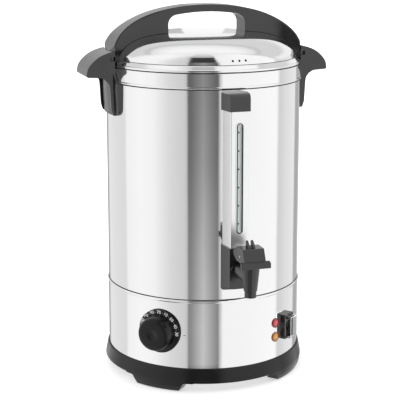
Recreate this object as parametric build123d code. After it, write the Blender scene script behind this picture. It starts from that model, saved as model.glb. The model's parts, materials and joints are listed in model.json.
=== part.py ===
"""Hot water urn, single-walled, about 15 litres.

Frame: millimetres, +Z up, origin at the centre of the base on the surface it stands on.
The gauge and the tap face -Y, and the two side handles stand at +X and -X.
A piece on the front is drawn on a plane whose local Z points outwards, then stood in its place
by at_front(), which turns it round the body from -Y towards +X.
"""
from build123d import *
import math
import os

# ---------------------------------------------------------------- driving dimensions, mm
body_radius = 130.0          # outside of the tank wall
sheet = 1.0                  # stainless sheet
rim_height = 417.0           # line where the lid rests on the tank
collar_height = 19.0         # stepped-out collar below the rim
collar_step = 1.0            # how far the collar stands out from the tank wall
housing_top = 124.0          # seam between the lower housing and the tank
housing_radius = body_radius + 0.5
floor_height = 130.0         # underside of the tank floor
floor_sheet = 1.2
rest_gap = 0.3               # between the closed lid and the tank

ring_top = 31.5              # top edge of the base ring
ring_top_radius = 132.5
ring_widest_radius = 135.5
ring_widest_height = 14.6
ring_underside = 12.5
ledge_height = 20.0          # ledge that the lower housing and bottom plate stand on
ledge_inner_radius = 117.0
foot_bottom = 1.5
foot_top_width = 76.6        # across the tops of a foot's ramps
foot_bottom_width = 58.4
pad_thickness = 4.0
pad_inner_radius = 121.0
pad_outer_radius = 130.0
pad_half_angle = 10.0
plate_radius = 128.5
foot_angles = (45, 135, 225, 315)
between_feet_angles = (0, 90, 180, 270)

lid_apex = 42.6              # above the rim
lid_wall_foot_radius = 124.3  # foot of the steep wall of the dome
lid_wall_foot_height = 9.5
bead_radius = 131.2
bead_half_height = 2.1
lid_skirt_radius = 128.6
lid_skirt_depth = 9.0
vent_radius = 1.4
vent_spacing_angle = 4.1

arch_apex = 78.0             # top of the lid handle above the rim
arch_shoulder = (100.0, 57.0)
arch_hip = (120.0, 41.5)
arch_end = (131.0, 20.5)
arch_foot_height = 6.0       # lower end of the handle's ends
arch_half_width = 17.3
arch_end_half_width = 32.0
grip_half_opening = 53.0
grip_opening_top = 68.6
grip_opening_rise = 5.4
grip_corner = 13.0
lid_screw_place = 78.0        # screws of the lid handle, from the axis
lid_screw_height = 35.0       # seat of their heads, above the rim

hood_half_width = 31.0       # side handle
hood_wall = 3.2
flange_bottom = rim_height - 62.0
flange_top = rim_height - 20.0
flange_thickness = 3.4
handle_clear_radius = 132.2  # inner face beside the lid
handle_screw_height = 403.5
handle_screw_angle = 7.5      # to each side of the handle's middle
handle_boss_radius = 4.6
handle_boss_end = 140.0
notch_width = 5.0
notch_height = 5.6

gauge_face = 151.8           # front face of the gauge channel, from the urn's axis
channel_front_width = 24.0
channel_back_width = 30.0
slot_bottom = 216.8
slot_top = 357.4
slot_width = 8.2
slot_border_width = 11.4
slot_border_height = 0.6
cap_bottom = 372.0
cap_top = 393.6
cap_back_width = 34.0
cap_front_width = 26.6
cap_face = gauge_face + 1.6
block_bottom = 138.0
block_top = 198.0
block_corner = 5.0
block_rise = 7.0             # how far its underside rises towards the front
channel_inset = 7.0          # how deep the channel goes into the cap and the block
tube_axis = 142.5            # sight tube, from the urn's axis
tube_radius = 4.4
tube_bore = 3.2
upper_port_height = 383.0
outlet_height = 172.0        # pipe from the tank to the tap
pipe_radius = 8.0
pipe_bore = 4.6
lock_nut_width = 5.0
neck_radius = 10.0

tap_axis = 194.0             # spout, from the urn's axis
spout_bottom = 146.4
nozzle_height = 7.4
nozzle_radius = 7.4
tap_top = 186.0
tap_top_radius = 11.0
seat_height = 164.0
chamber_radius = 8.4
spout_bore = 5.0
bonnet_flange = 4.0
bonnet_boss_radius = 8.6
bonnet_top = 192.0
stem_radius = 3.0
running = 0.05               # radial clearance of the running fits
pin_height = 198.7
pin_radius = 1.5
stem_head_width = 12.0
hood_top = 209.6             # lever hood
lever_half_width = 14.0
lever_wall = 1.9
lip_half_width = 19.0
horn_top = 217.6
horn_width = 2.8
spring_mean_radius = 5.2
spring_wire_radius = 0.5
spring_turns = 5

dial_angle = -43.0           # round the body from the front
dial_height = 80.0
dial_skirt_radius = 29.0
dial_skirt_back = 131.2
dial_skirt_front = 133.8
dial_grip_radius = 20.4
dial_face = 153.4
shaft_radius = 3.0
thermostat_front = 127.6

lamp_angle = 29.6
lamp_heights = {"lamp_red": 80.7, "lamp_amber": 61.4}
lamp_lens_radius = 6.6
lamp_hole_radius = 5.0

switch_angle = 39.2
switch_bottom = 56.0
switch_top = 89.5
switch_width = 22.0
switch_rim = 2.0              # rim of the frame around the boot
switch_face = 137.4
switch_cut_width = 17.6
switch_cut_height = 27.6
rocker_pivot = 127.0          # rocker's axis, from the urn's axis
rocker_tilt = 12.0
boot_face = 144.6

element_radius = 72.0
element_tube_radius = 4.0
heat_plate_radius = 88.0
heat_plate_thickness = 2.6
element_gap_angle = 18.0

gland_height = 52.0
gland_bore = 4.3
gland_angle = 180.0

os.makedirs("parts", exist_ok=True)


# ---------------------------------------------------------------- helpers
def outline(*edges):
    """A flat face bounded by edges drawn in order."""
    return make_face(Curve() + list(edges))


def polygon(*points):
    """A flat face with straight sides."""
    return make_face(Polyline(*points, close=True))


def spun(face, angle=360):
    """A face drawn as (radius, height), spun round the urn's axis."""
    return revolve(Plane.XZ * face, Axis.Z, angle)


def ring(inner, outer, bottom, top):
    """A plain ring round the local Z axis."""
    band = Pos(0, 0, bottom) * Cylinder(outer, top - bottom, align=(Align.CENTER, Align.CENTER, Align.MIN))
    if inner <= 0:
        return band
    hole = Pos(0, 0, bottom - 1) * Cylinder(
        inner, top - bottom + 2, align=(Align.CENTER, Align.CENTER, Align.MIN)
    )
    return band - hole


def disc(radius, bottom, top):
    """A plain cylinder on the local Z axis."""
    return ring(0, radius, bottom, top)


def prism(face, bottom, top):
    """A face drawn on XY, raised from bottom to top."""
    return Pos(0, 0, bottom) * extrude(face, top - bottom)


def at_front(shape, height, angle=0.0):
    """Stand a piece drawn with local Z outwards at a height and an angle round the body."""
    panel = Plane(origin=(0, 0, height), x_dir=(1, 0, 0), z_dir=(0, -1, 0))
    return Rot(0, 0, angle) * (panel.location * shape)


def copies(shape, angles):
    """The same piece repeated round the urn's axis, as separate solids."""
    return Compound(children=[Rot(0, 0, angle) * shape for angle in angles])


def pan_screw(length, shank=2.0, head=3.9):
    """A pan-head screw along Z: the head's underside at 0, the shank up to +length."""
    body = disc(shank, 0, length)
    cap = disc(head, -2.2, 0)
    cap = fillet(cap.edges().group_by(Axis.Z)[0], 1.2)
    slot = Box(1.0, 2 * head * 0.62, 2.2)
    cross = slot + Rot(0, 0, 90) * slot
    return body + (cap - Pos(0, 0, -2.2) * cross)


def hex_nut(across_flats, bore, bottom, top):
    """A hexagonal nut on the local Z axis."""
    flats = RegularPolygon(across_flats / 2, 6, major_radius=False)
    return prism(flats, bottom, top) - disc(bore, bottom - 1, top + 1)


def save(name, shape):
    """Write one sub-part."""
    export_step(shape, "parts/" + name + ".step")


# ---------------------------------------------------------------- base
def make_base_ring():
    """Moulded ring: a flared skirt, the ledge inside it, four ramped feet and pad pockets."""
    ledge_bottom = ledge_height - 4.0
    skirt = outline(
        Line((ledge_inner_radius, ledge_height), (housing_radius, ledge_height)),
        Line((housing_radius, ledge_height), (housing_radius, ring_top)),
        Line((housing_radius, ring_top), (ring_top_radius - 0.6, ring_top)),
        Line((ring_top_radius - 0.6, ring_top), (ring_top_radius, ring_top - 0.8)),
        Line((ring_top_radius, ring_top - 0.8), (ring_widest_radius, ring_widest_height)),
        ThreePointArc(
            (ring_widest_radius, ring_widest_height),
            (ring_widest_radius - 0.7, ring_underside + 0.6),
            (ring_widest_radius - 3.0, ring_underside),
        ),
        Line((ring_widest_radius - 3.0, ring_underside), (ring_widest_radius - 6.0, ring_underside)),
        Line((ring_widest_radius - 6.0, ring_underside), (ring_widest_radius - 8.0, ledge_bottom)),
        Line((ring_widest_radius - 8.0, ledge_bottom), (ledge_inner_radius, ledge_bottom)),
        Line((ledge_inner_radius, ledge_bottom), (ledge_inner_radius, ledge_height)),
    )
    foot_section = outline(
        Line((ledge_inner_radius, ledge_bottom + 1), (ring_widest_radius, ring_widest_height)),
        ThreePointArc(
            (ring_widest_radius, ring_widest_height),
            (ring_widest_radius - 0.6, (ring_widest_height + foot_bottom) / 2),
            (ring_widest_radius - 2.6, foot_bottom),
        ),
        Line((ring_widest_radius - 2.6, foot_bottom), (ledge_inner_radius + 1.5, foot_bottom)),
        Line((ledge_inner_radius + 1.5, foot_bottom), (ledge_inner_radius, ledge_bottom + 1)),
    )
    top = foot_top_width / 2
    low = foot_bottom_width / 2
    above = ring_widest_height + 4
    ramps = polygon(
        (-top - 12, above), (-top - 12, ring_underside), (-top, ring_underside), (-low, foot_bottom - 3),
        (low, foot_bottom - 3), (top, ring_underside), (top + 12, ring_underside), (top + 12, above),
    )
    ramp_corners = [v for v in ramps.vertices() if v.Y < ring_underside + 1 and abs(v.X) < top + 1]
    ramps = fillet(ramp_corners, 3.4)
    # the prism is drawn on the front plane, its lower edge trimmed level with the foot
    foot_prism = at_front(prism(ramps, ledge_inner_radius - 6, ring_widest_radius + 6), 0)
    foot_prism -= Pos(0, 0, foot_bottom - 10) * Box(400, 400, 20)
    foot_band = spun(foot_section)
    body = spun(skirt)
    feet = foot_band & foot_prism
    for angle in foot_angles:
        body += Rot(0, 0, angle) * feet
    pocket = pad_blank(pad_thickness, pad_thickness - foot_bottom)
    for angle in foot_angles:
        body -= Rot(0, 0, angle) * pocket
    for angle in between_feet_angles:
        body -= Rot(0, 0, angle) * at_place(disc(2.2, ledge_bottom - 1, ledge_height + 1), 122.5)
    return body


def at_place(shape, radius):
    """Move a piece drawn on the Z axis out to the front by a radius."""
    return Pos(0, -radius, 0) * shape


def pad_blank(top, thickness):
    """The arc-shaped block of one foot pad, from its top downwards."""
    band = ring(pad_inner_radius, pad_outer_radius, top - thickness, top)
    reach = pad_outer_radius * 1.2
    side = math.radians(pad_half_angle)
    wedge = polygon((0, 0), (reach * math.sin(side), -reach), (-reach * math.sin(side), -reach))
    return band & prism(wedge, top - thickness - 1, top + 1)


def make_foot_pads():
    """Four rubber pads, each seated in the pocket of one foot."""
    pad = pad_blank(pad_thickness, pad_thickness)
    edges = pad.edges().group_by(Axis.Z)[0]
    return copies(chamfer(edges, 0.5), foot_angles)


def make_bottom_plate():
    """Sheet steel bottom lying on the ring's ledge, with vent slots and a raised rim."""
    plate = disc(plate_radius, ledge_height, ledge_height + sheet)
    plate += ring(plate_radius - sheet, plate_radius, ledge_height, ledge_height + 7)
    slot = at_place(Rot(0, 0, 90) * prism(SlotOverall(26, 4), ledge_height - 1, ledge_height + 2), 78)
    for turn in range(10):
        plate -= Rot(0, 0, turn * 36) * slot
    for angle in between_feet_angles:
        plate -= Rot(0, 0, angle) * at_place(disc(1.6, ledge_height - 1, ledge_height + 2), 122.5)
    return plate


def make_bottom_screws():
    """Four screws that hold the bottom plate up against the ledge of the ring."""
    screw = Pos(0, 0, ledge_height - 4.0) * pan_screw(8.0, shank=1.6, head=3.4)
    return copies(at_place(screw, 122.5), between_feet_angles)


# ---------------------------------------------------------------- sheet metal body
def make_lower_housing():
    """Rolled sheet housing with an inward flange under the tank and its panel cut-outs."""
    inside = housing_radius - sheet
    wall = outline(
        Line((inside, ledge_height), (housing_radius, ledge_height)),
        Line((housing_radius, ledge_height), (housing_radius, housing_top - 1.2)),
        ThreePointArc(
            (housing_radius, housing_top - 1.2),
            (housing_radius - 0.35, housing_top - 0.35),
            (housing_radius - 1.2, housing_top),
        ),
        Line((housing_radius - 1.2, housing_top), (inside - 7, housing_top)),
        Line((inside - 7, housing_top), (inside - 7, housing_top - sheet)),
        Line((inside - 7, housing_top - sheet), (inside, housing_top - sheet)),
        Line((inside, housing_top - sheet), (inside, ledge_height)),
    )
    shell = spun(wall)
    through = (body_radius - 10, body_radius + 10)
    shell -= at_front(disc(5.0, *through), dial_height, dial_angle)
    for side in (-14, 14):
        shell -= at_front(Pos(side, 0, 0) * disc(2.1, *through), dial_height, dial_angle)
    for height in lamp_heights.values():
        shell -= at_front(disc(lamp_hole_radius, *through), height, lamp_angle)
    switch_middle = (switch_bottom + switch_top) / 2
    cut = prism(Rectangle(switch_cut_width, switch_cut_height), *through)
    shell -= at_front(cut, switch_middle, switch_angle)
    shell -= at_front(disc(7.0, *through), gland_height, gland_angle)
    return shell


def make_tank():
    """Drawn tank: straight wall, rounded floor, stepped collar and rolled rim."""
    inner = body_radius - sheet
    collar_foot = rim_height - collar_height
    collar_radius = body_radius + collar_step
    top = rim_height - 0.1
    floor_top = floor_height + floor_sheet
    wall = outline(
        Line((0, floor_height), (inner, floor_height)),
        Line((inner, floor_height), (inner, housing_top)),
        Line((inner, housing_top), (body_radius - 0.5, housing_top)),
        ThreePointArc(
            (body_radius - 0.5, housing_top),
            (body_radius - 0.15, housing_top + 0.15),
            (body_radius, housing_top + 0.5),
        ),
        Line((body_radius, housing_top + 0.5), (body_radius, collar_foot - 1.0)),
        Line((body_radius, collar_foot - 1.0), (collar_radius, collar_foot + 0.2)),
        Line((collar_radius, collar_foot + 0.2), (collar_radius, top - 0.5)),
        ThreePointArc(
            (collar_radius, top - 0.5), (collar_radius - 0.5, top), (collar_radius - 1.0, top - 0.5)
        ),
        Line((collar_radius - 1.0, top - 0.5), (collar_radius - 1.0, collar_foot + 0.8)),
        Line((collar_radius - 1.0, collar_foot + 0.8), (inner, collar_foot - 0.4)),
        Line((inner, collar_foot - 0.4), (inner, floor_top + 7)),
        ThreePointArc((inner, floor_top + 7), (inner - 2.05, floor_top + 2.05), (inner - 7, floor_top)),
        Line((inner - 7, floor_top), (0, floor_top)),
        Line((0, floor_top), (0, floor_height)),
    )
    shell = spun(wall)
    through = (body_radius - 10, body_radius + 10)
    for angle in handle_screw_angles():
        shell -= at_front(disc(2.0, *through), handle_screw_height, angle)
    shell -= at_front(disc(pipe_radius + 0.1, *through), outlet_height)
    shell -= at_front(disc(4.1, *through), upper_port_height)
    return shell


# ---------------------------------------------------------------- lid
def lid_curve():
    """The dome's outer line, from the apex to the foot of its steep wall."""
    return Spline(
        (0, rim_height + lid_apex),
        (60, rim_height + 41.0),
        (98, rim_height + 34.0),
        (117.6, rim_height + 22.0),
        (lid_wall_foot_radius, rim_height + lid_wall_foot_height),
        tangents=[(1, 0), (0.12, -1)],
    )


def inset_curve(curve, depth):
    """A line drawn inside another one, at a constant depth."""
    points = []
    for place in (0, 0.25, 0.5, 0.7, 0.85, 1):
        here = curve @ place
        way = curve % place
        points.append((here.X + way.Y * depth, here.Y - way.X * depth))
    start = curve % 0
    end = curve % 1
    return Spline(*points, tangents=[(start.X, start.Y), (end.X, end.Y)])


def lid_flange():
    """The points of the lid's top from the dome's foot to the rolled bead."""
    step_foot = (lid_wall_foot_radius + 1.6, rim_height + lid_wall_foot_height - 1.4)
    bead_top = (bead_radius - bead_half_height, rim_height + rest_gap - 0.1 + 2 * bead_half_height)
    return step_foot, bead_top


def make_lid():
    """Pressed dome with a stepped flange, a rolled bead and a skirt that drops into the collar."""
    outer = lid_curve()
    inner = inset_curve(outer, sheet)
    step_foot, bead_top = lid_flange()
    bead_low = rim_height + rest_gap - 0.1
    skirt_end = rim_height - lid_skirt_depth
    skirt_inner = lid_skirt_radius - sheet
    wall_in = inner @ 1
    edges = [
        outer,
        Line(outer @ 1, step_foot),
        Line(step_foot, bead_top),
        ThreePointArc(
            bead_top, (bead_radius, bead_low + bead_half_height), (bead_radius - bead_half_height, bead_low)
        ),
        Line((bead_radius - bead_half_height, bead_low), (lid_skirt_radius, bead_low)),
        Line((lid_skirt_radius, bead_low), (lid_skirt_radius, skirt_end)),
        Line((lid_skirt_radius, skirt_end), (skirt_inner, skirt_end)),
        Line((skirt_inner, skirt_end), (skirt_inner, bead_top[1] - 0.6)),
        Line((skirt_inner, bead_top[1] - 0.6), (step_foot[0] - 0.5, step_foot[1] - 1.1)),
        Line((step_foot[0] - 0.5, step_foot[1] - 1.1), (wall_in.X, wall_in.Y)),
        inner,
        Line((inner @ 0), (outer @ 0)),
    ]
    shell = spun(outline(*edges))
    drill = at_front(disc(vent_radius, body_radius - 30, body_radius + 10), rim_height + 14.5)
    for place in (0, 1, 2):
        shell -= Rot(0, 0, place * vent_spacing_angle) * drill
    for side in (-1, 1):
        shell -= Pos(side * lid_screw_place, 0, 0) * disc(2.6, rim_height + 10, rim_height + 60)
    return shell


def lid_envelope():
    """Everything below the lid's top, for seating the handle on it."""
    outer = lid_curve()
    step_foot, bead_top = lid_flange()
    edges = [
        outer,
        Line(outer @ 1, step_foot),
        Line(step_foot, bead_top),
        Line(bead_top, (bead_radius + 20, bead_top[1])),
        Line((bead_radius + 20, bead_top[1]), (bead_radius + 20, rim_height - 30)),
        Line((bead_radius + 20, rim_height - 30), (0, rim_height - 30)),
        Line((0, rim_height - 30), (0, rim_height + lid_apex)),
    ]
    return spun(outline(*edges))


def arch_side_face():
    """Side view of the lid handle, drawn as (x, height)."""
    end_x, end_z = arch_end
    end_z += rim_height
    crown = [(0, arch_apex), (54, 73.0), arch_shoulder, arch_hip, arch_end]
    right = Spline(*[(x, rim_height + z) for x, z in crown], tangents=[(1, 0), (0.3, -1)])
    foot = rim_height + arch_foot_height
    return outline(
        right,
        Line((end_x, end_z), (end_x - 0.6, foot)),
        Line((end_x - 0.6, foot), (-end_x + 0.6, foot)),
        Line((-end_x + 0.6, foot), (-end_x, end_z)),
        mirror(right, Plane.YZ),
    )


def arch_plan_face():
    """Plan of the lid handle: a narrow grip that flares to the side handles."""
    start = (80, arch_half_width)
    middle = (113, 22.2)
    end = (arch_end[0] + 4, arch_end_half_width + 1)
    flare = Spline(start, middle, end, tangents=[(1, 0), (1, 0.55)])
    right = Curve() + [
        Line((0, start[1]), start), flare, Line(end, (end[0], 0)),
    ]
    quarter = list(right.edges())
    half = quarter + [mirror(edge, Plane.XZ) for edge in quarter]
    whole = half + [mirror(edge, Plane.YZ) for edge in half]
    return make_face(Curve() + whole)


def grip_opening_face():
    """The finger opening of the lid handle: a shallow arc over two straight sides."""
    side = grip_half_opening
    crown = rim_height + grip_opening_top
    ends = crown - grip_opening_rise
    bow = ThreePointArc((side, ends), (0, crown), (-side, ends))
    opening = outline(
        Line((side, rim_height), (side, ends)),
        bow,
        Line((-side, ends), (-side, rim_height)),
        Line((-side, rim_height), (side, rim_height)),
    )
    upper = [v for v in opening.vertices() if v.Y > rim_height + 20]
    return fillet(upper, grip_corner)


def make_lid_handle():
    """Arched moulding with a grip opening, seated on the lid all along its legs."""
    depth = 2 * arch_end_half_width + 20
    arch = Pos(0, depth / 2, 0) * extrude(Plane.XZ * arch_side_face(), depth)
    arch = arch & prism(arch_plan_face(), rim_height - 40, rim_height + 120)
    crest = [
        edge for edge in arch.edges()
        if edge.center().Z > rim_height + 30 and abs(edge.center().X) < 129 and edge.length > 62
    ]
    arch = fillet(crest, 2.0)
    arch -= Pos(0, depth / 2, 0) * extrude(Plane.XZ * grip_opening_face(), depth)
    arch -= lid_envelope()
    arch &= disc(bead_radius, rim_height - 10, rim_height + 120)
    for side in (-1, 1):
        arch -= Pos(side * lid_screw_place, 0, 0) * disc(2.0, rim_height + 20, rim_height + 54)
    return arch


def make_lid_handle_screws():
    """Two screws from inside the lid into the legs of its handle."""
    under_lid = rim_height + lid_screw_height
    screw = Pos(lid_screw_place, 0, under_lid) * pan_screw(15.0, shank=2.0, head=4.0)
    return copies(screw, (0, 180))


def make_lid_handle_washers():
    """Two sealing washers under those screws, following the slope of the lid."""
    under_lid = rim_height + lid_screw_height
    washer = Pos(lid_screw_place, 0, 0) * ring(2.05, 5.2, under_lid, under_lid + 4)
    return copies(washer & space_under_lid(), (0, 180))


def space_under_lid():
    """The space under the lid's inner face."""
    inner = inset_curve(lid_curve(), sheet)
    edge = inner @ 1
    edges = [
        inner,
        Line((edge.X, edge.Y), (edge.X, rim_height - 40)),
        Line((edge.X, rim_height - 40), (0, rim_height - 40)),
        Line((0, rim_height - 40), (inner @ 0)),
    ]
    return spun(outline(*edges))


# ---------------------------------------------------------------- side handles
def hood_face(offset=0.0):
    """Side view of the right handle's hood and webs, drawn as (x, height)."""
    tip_x = 165.8 - offset
    crown = Spline(
        (126, rim_height + 21.6 - offset),
        (140, rim_height + 18.6 - offset),
        (152.5 - offset * 0.4, rim_height + 12.4 - offset * 0.8),
        (160.8 - offset * 0.8, rim_height + 4.6 - offset * 0.5),
        (tip_x, rim_height - 7.5),
        tangents=[(1, -0.08), (0.12, -1)],
    )
    return crown, tip_x


def make_side_handle():
    """Right-hand handle: a hollow hood on two webs that run down into a bolted flange."""
    crown, tip_x = hood_face()
    lip = rim_height - 11.6
    web = outline(
        crown,
        ThreePointArc((tip_x, rim_height - 7.5), (tip_x - 0.7, lip + 0.7), (tip_x - 2.6, lip)),
        Line((tip_x - 2.6, lip), (150.5, rim_height - 12.3)),
        Spline(
            (150.5, rim_height - 12.3),
            (142.5, rim_height - 14.8),
            (137.2, rim_height - 20.5),
            (135.4, rim_height - 30),
            tangents=[(-1, -0.08), (-0.08, -1)],
        ),
        Line((135.4, rim_height - 30), (134.2, flange_bottom + 8)),
        Line((134.2, flange_bottom + 8), (131.6, flange_bottom)),
        Line((131.6, flange_bottom), (120, flange_bottom)),
        Line((120, flange_bottom), (120, rim_height + 21.6)),
        Line((120, rim_height + 21.6), (126, rim_height + 21.6)),
    )
    webs = Pos(0, hood_half_width, 0) * extrude(Plane.XZ * web, 2 * hood_half_width)
    inner_crown, inner_tip = hood_face(hood_wall)
    hollow = outline(
        inner_crown,
        Line((inner_tip, rim_height - 7.5), (inner_tip, rim_height - 24)),
        Line((inner_tip, rim_height - 24), (139.5, rim_height - 24)),
        Line((139.5, rim_height - 24), (139.5, flange_bottom - 5)),
        Line((139.5, flange_bottom - 5), (126, flange_bottom - 5)),
        Line((126, flange_bottom - 5), (126, rim_height + 21.6 - hood_wall)),
    )
    half = hood_half_width - hood_wall
    hood = webs - Pos(0, half, 0) * extrude(Plane.XZ * hollow, 2 * half)
    for angle in handle_screw_angles()[:2]:
        hood += at_front(disc(handle_boss_radius, body_radius, handle_boss_end), handle_screw_height, angle)
    # the wall between the hood's hollow and the tank, and the flange that is bolted on
    back = spun(
        polygon(
            (125, flange_bottom), (body_radius + flange_thickness, flange_bottom),
            (body_radius + flange_thickness + 1.6, rim_height - 30),
            (body_radius + flange_thickness + 2.2, rim_height + 17), (125, rim_height + 17),
        )
    )
    flange = back & at_front(prism(flange_front_face(), 60, 200), 0, 90)
    handle = hood + flange
    handle -= tank_clearance()
    notch_x = handle_clear_radius - 4
    notch = Box(notch_width + 8, 8, notch_height, align=(Align.MIN, Align.CENTER, Align.MIN))
    handle -= Pos(notch_x - 8 + 1.2, -hood_half_width, rim_height + 8.6) * notch
    for angle in handle_screw_angles()[:2]:
        hole = disc(1.6, body_radius - 5, handle_boss_end - 1.6)
        handle -= at_front(hole, handle_screw_height, angle)
    return handle


def flange_front_face():
    """Front view of the flange: narrow beside the hood, wide and round-cornered below it."""
    low = 41.0
    blank = polygon(
        (-low, flange_bottom), (low, flange_bottom), (low, flange_top), (hood_half_width, flange_top + 14),
        (hood_half_width, rim_height + 17), (-hood_half_width, rim_height + 17),
        (-hood_half_width, flange_top + 14), (-low, flange_top),
    )
    corners = [v for v in blank.vertices() if v.Y < flange_bottom + 1]
    return fillet(corners, 9.0)


def tank_clearance():
    """The round space that a side handle leaves for the tank, its collar and the lid."""
    return (
        disc(body_radius, flange_bottom - 20, rim_height - collar_height + 0.2)
        + disc(body_radius + collar_step, rim_height - collar_height - 1, rim_height - 1)
        + disc(handle_clear_radius, rim_height - 1.2, rim_height + 60)
    )


def handle_screw_angles():
    """Angles round the body of the handles' screws: the right pair, then the left pair."""
    return [middle + side * handle_screw_angle for middle in (90, -90) for side in (-1, 1)]


def make_side_handle_screws():
    """Four screws from inside the tank's collar into the bosses of the side handles."""
    screw = Pos(0, 0, body_radius - 1.5) * pan_screw(9.5, shank=1.6, head=3.6)
    screws = [at_front(screw, handle_screw_height, angle) for angle in handle_screw_angles()]
    return Compound(children=screws)


def make_side_handle_seals():
    """Silicone washers under the heads of those screws, against the collar's wall."""
    wall = disc(body_radius, handle_screw_height - 9, handle_screw_height + 9)
    washer = ring(1.65, 4.2, body_radius - 1.5, body_radius + 1)
    seals = [at_front(washer, handle_screw_height, angle) & wall for angle in handle_screw_angles()]
    return Compound(children=seals)


# ---------------------------------------------------------------- sight gauge
def gauge_section(front_width, back_width, face, grow=0.0, back=body_radius - 8):
    """Plan of a gauge piece: tapered from its width at the tank's wall out to its front face."""
    slope = (front_width - back_width) / (face - body_radius)
    front = face + grow
    front_half = (front_width + slope * grow) / 2 + grow
    back_half = (back_width + slope * (back - body_radius)) / 2 + grow
    return polygon((-back_half, -back), (back_half, -back), (front_half, -front), (-front_half, -front))


def make_gauge_channel():
    """Folded stainless cover with a long round-ended slot inside a raised border."""
    bottom = block_top - channel_inset
    top = cap_bottom + channel_inset
    plan = (channel_front_width, channel_back_width, gauge_face)
    outer = prism(gauge_section(*plan), bottom, top)
    inner = prism(gauge_section(*plan, grow=-sheet), bottom - 1, top + 1)
    outer = fillet(outer.edges().filter_by(Axis.Z).group_by(Axis.Y)[0], 1.4)
    length = slot_top - slot_bottom
    middle = (slot_top + slot_bottom) / 2
    border = Rot(0, 0, 90) * SlotOverall(length + 2, slot_border_width)
    window = Rot(0, 0, 90) * SlotOverall(length - 3.2, slot_width)
    raised = prism(border, gauge_face - sheet, gauge_face + slot_border_height)
    raised = fillet(raised.edges().group_by(Axis.Z)[-1], 0.4)
    channel = outer - inner + at_front(raised, middle)
    channel -= at_front(prism(window, gauge_face - 6, gauge_face + 3), middle)
    return channel - disc(body_radius, bottom - 2, top + 2)


def make_gauge_cap():
    """Moulded end cap: round-shouldered front, socket for the channel, bore for the tube's seal."""
    body = prism(gauge_section(cap_front_width, cap_back_width, cap_face), cap_bottom, cap_top)
    front_top = body.edges().filter_by(Axis.X).group_by(Axis.Y)[0].sort_by(Axis.Z)[-1]
    body = fillet(front_top, 8.0)
    body -= disc(body_radius, cap_bottom - 2, cap_top + 2)
    socket = gauge_section(channel_front_width, channel_back_width, gauge_face, grow=0.15)
    body -= prism(socket, cap_bottom - 1, cap_bottom + channel_inset)
    body -= at_place(disc(6.4, cap_bottom - 1, cap_top - 4.5), tube_axis)
    body -= at_front(disc(4.1, body_radius - 5, tube_axis), upper_port_height)
    return body


def make_gauge_block():
    """Moulded tap block: socket for the channel, seat for the tube, water ways and the tap's thread."""
    body = prism(gauge_section(cap_front_width, cap_back_width, cap_face), block_bottom, block_top)
    under = polygon(
        (body_radius - 10, block_bottom - 5), (cap_face + 5, block_bottom - 5),
        (cap_face + 5, block_bottom + block_rise + 1.5), (cap_face, block_bottom + block_rise),
        (body_radius, block_bottom), (body_radius - 10, block_bottom),
    )
    body -= Rot(0, 0, -90) * Pos(0, 40, 0) * extrude(Plane.XZ * under, 80)
    low_edges = [
        e for e in body.edges().filter_by(Axis.Y, tolerance=30)
        if e.center().Z < block_bottom + block_rise and abs(e.center().X) > 5 and e.length > 15
    ]
    body = fillet(low_edges, block_corner)
    body -= disc(body_radius, block_bottom - 2, block_top + 2)
    socket = gauge_section(channel_front_width, channel_back_width, gauge_face, grow=0.15)
    body -= prism(socket, block_top - channel_inset, block_top + 1)
    body -= at_place(disc(6.4, block_top - channel_inset - 9, block_top), tube_axis)
    body -= at_place(disc(3.0, outlet_height, block_top), tube_axis)
    body -= at_front(disc(pipe_radius, body_radius - 5, cap_face + 1), outlet_height)
    return body


def make_sight_tube():
    """Clear gauge tube that stands behind the slot."""
    return at_place(ring(tube_bore, tube_radius, block_top - channel_inset - 6, cap_bottom + channel_inset + 5), tube_axis)


def make_tube_seals():
    """Silicone bushes that seal the tube's two ends."""
    lower = ring(tube_radius, 6.4, block_top - channel_inset - 9, block_top - channel_inset)
    upper = ring(tube_radius, 6.4, cap_bottom + channel_inset - 4, cap_bottom + channel_inset + 4)
    return at_place(Compound(children=[lower, upper]), tube_axis)


def make_outlet_pipe():
    """Threaded stainless pipe from inside the tank, through the block, to the tap."""
    pipe = ring(pipe_bore, pipe_radius, body_radius - 12, tap_axis - chamber_radius - 1.6)
    pipe -= Pos(0, 0, tube_axis) * Rot(-90, 0, 0) * disc(2.6, 0, pipe_radius + 2)
    return at_front(pipe, outlet_height)


def make_outlet_nut():
    """Nut that pulls the pipe tight from inside the tank."""
    return at_front(hex_nut(24, pipe_radius, body_radius - 9.5, body_radius - 5.0), outlet_height)


def make_outlet_gasket():
    """Silicone gasket between that nut and the tank wall."""
    gasket = at_front(ring(pipe_radius, 12.5, body_radius - 5.0, body_radius), outlet_height)
    return gasket & disc(body_radius - sheet, outlet_height - 20, outlet_height + 20)


def make_vent_fitting():
    """Hollow stud that fastens the cap and lets the tube breathe into the tank."""
    stud = ring(2.0, 4.0, body_radius - 7, tube_axis - 6.4)
    return at_front(stud, upper_port_height)


def make_vent_nut():
    """Nut of the hollow stud, inside the tank."""
    nut = at_front(hex_nut(11, 4.0, body_radius - 6.0, body_radius - 2.5), upper_port_height)
    washer = at_front(ring(4.0, 7.0, body_radius - 2.5, body_radius), upper_port_height)
    washer = washer & disc(body_radius - sheet, upper_port_height - 12, upper_port_height + 12)
    return nut, washer


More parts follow.
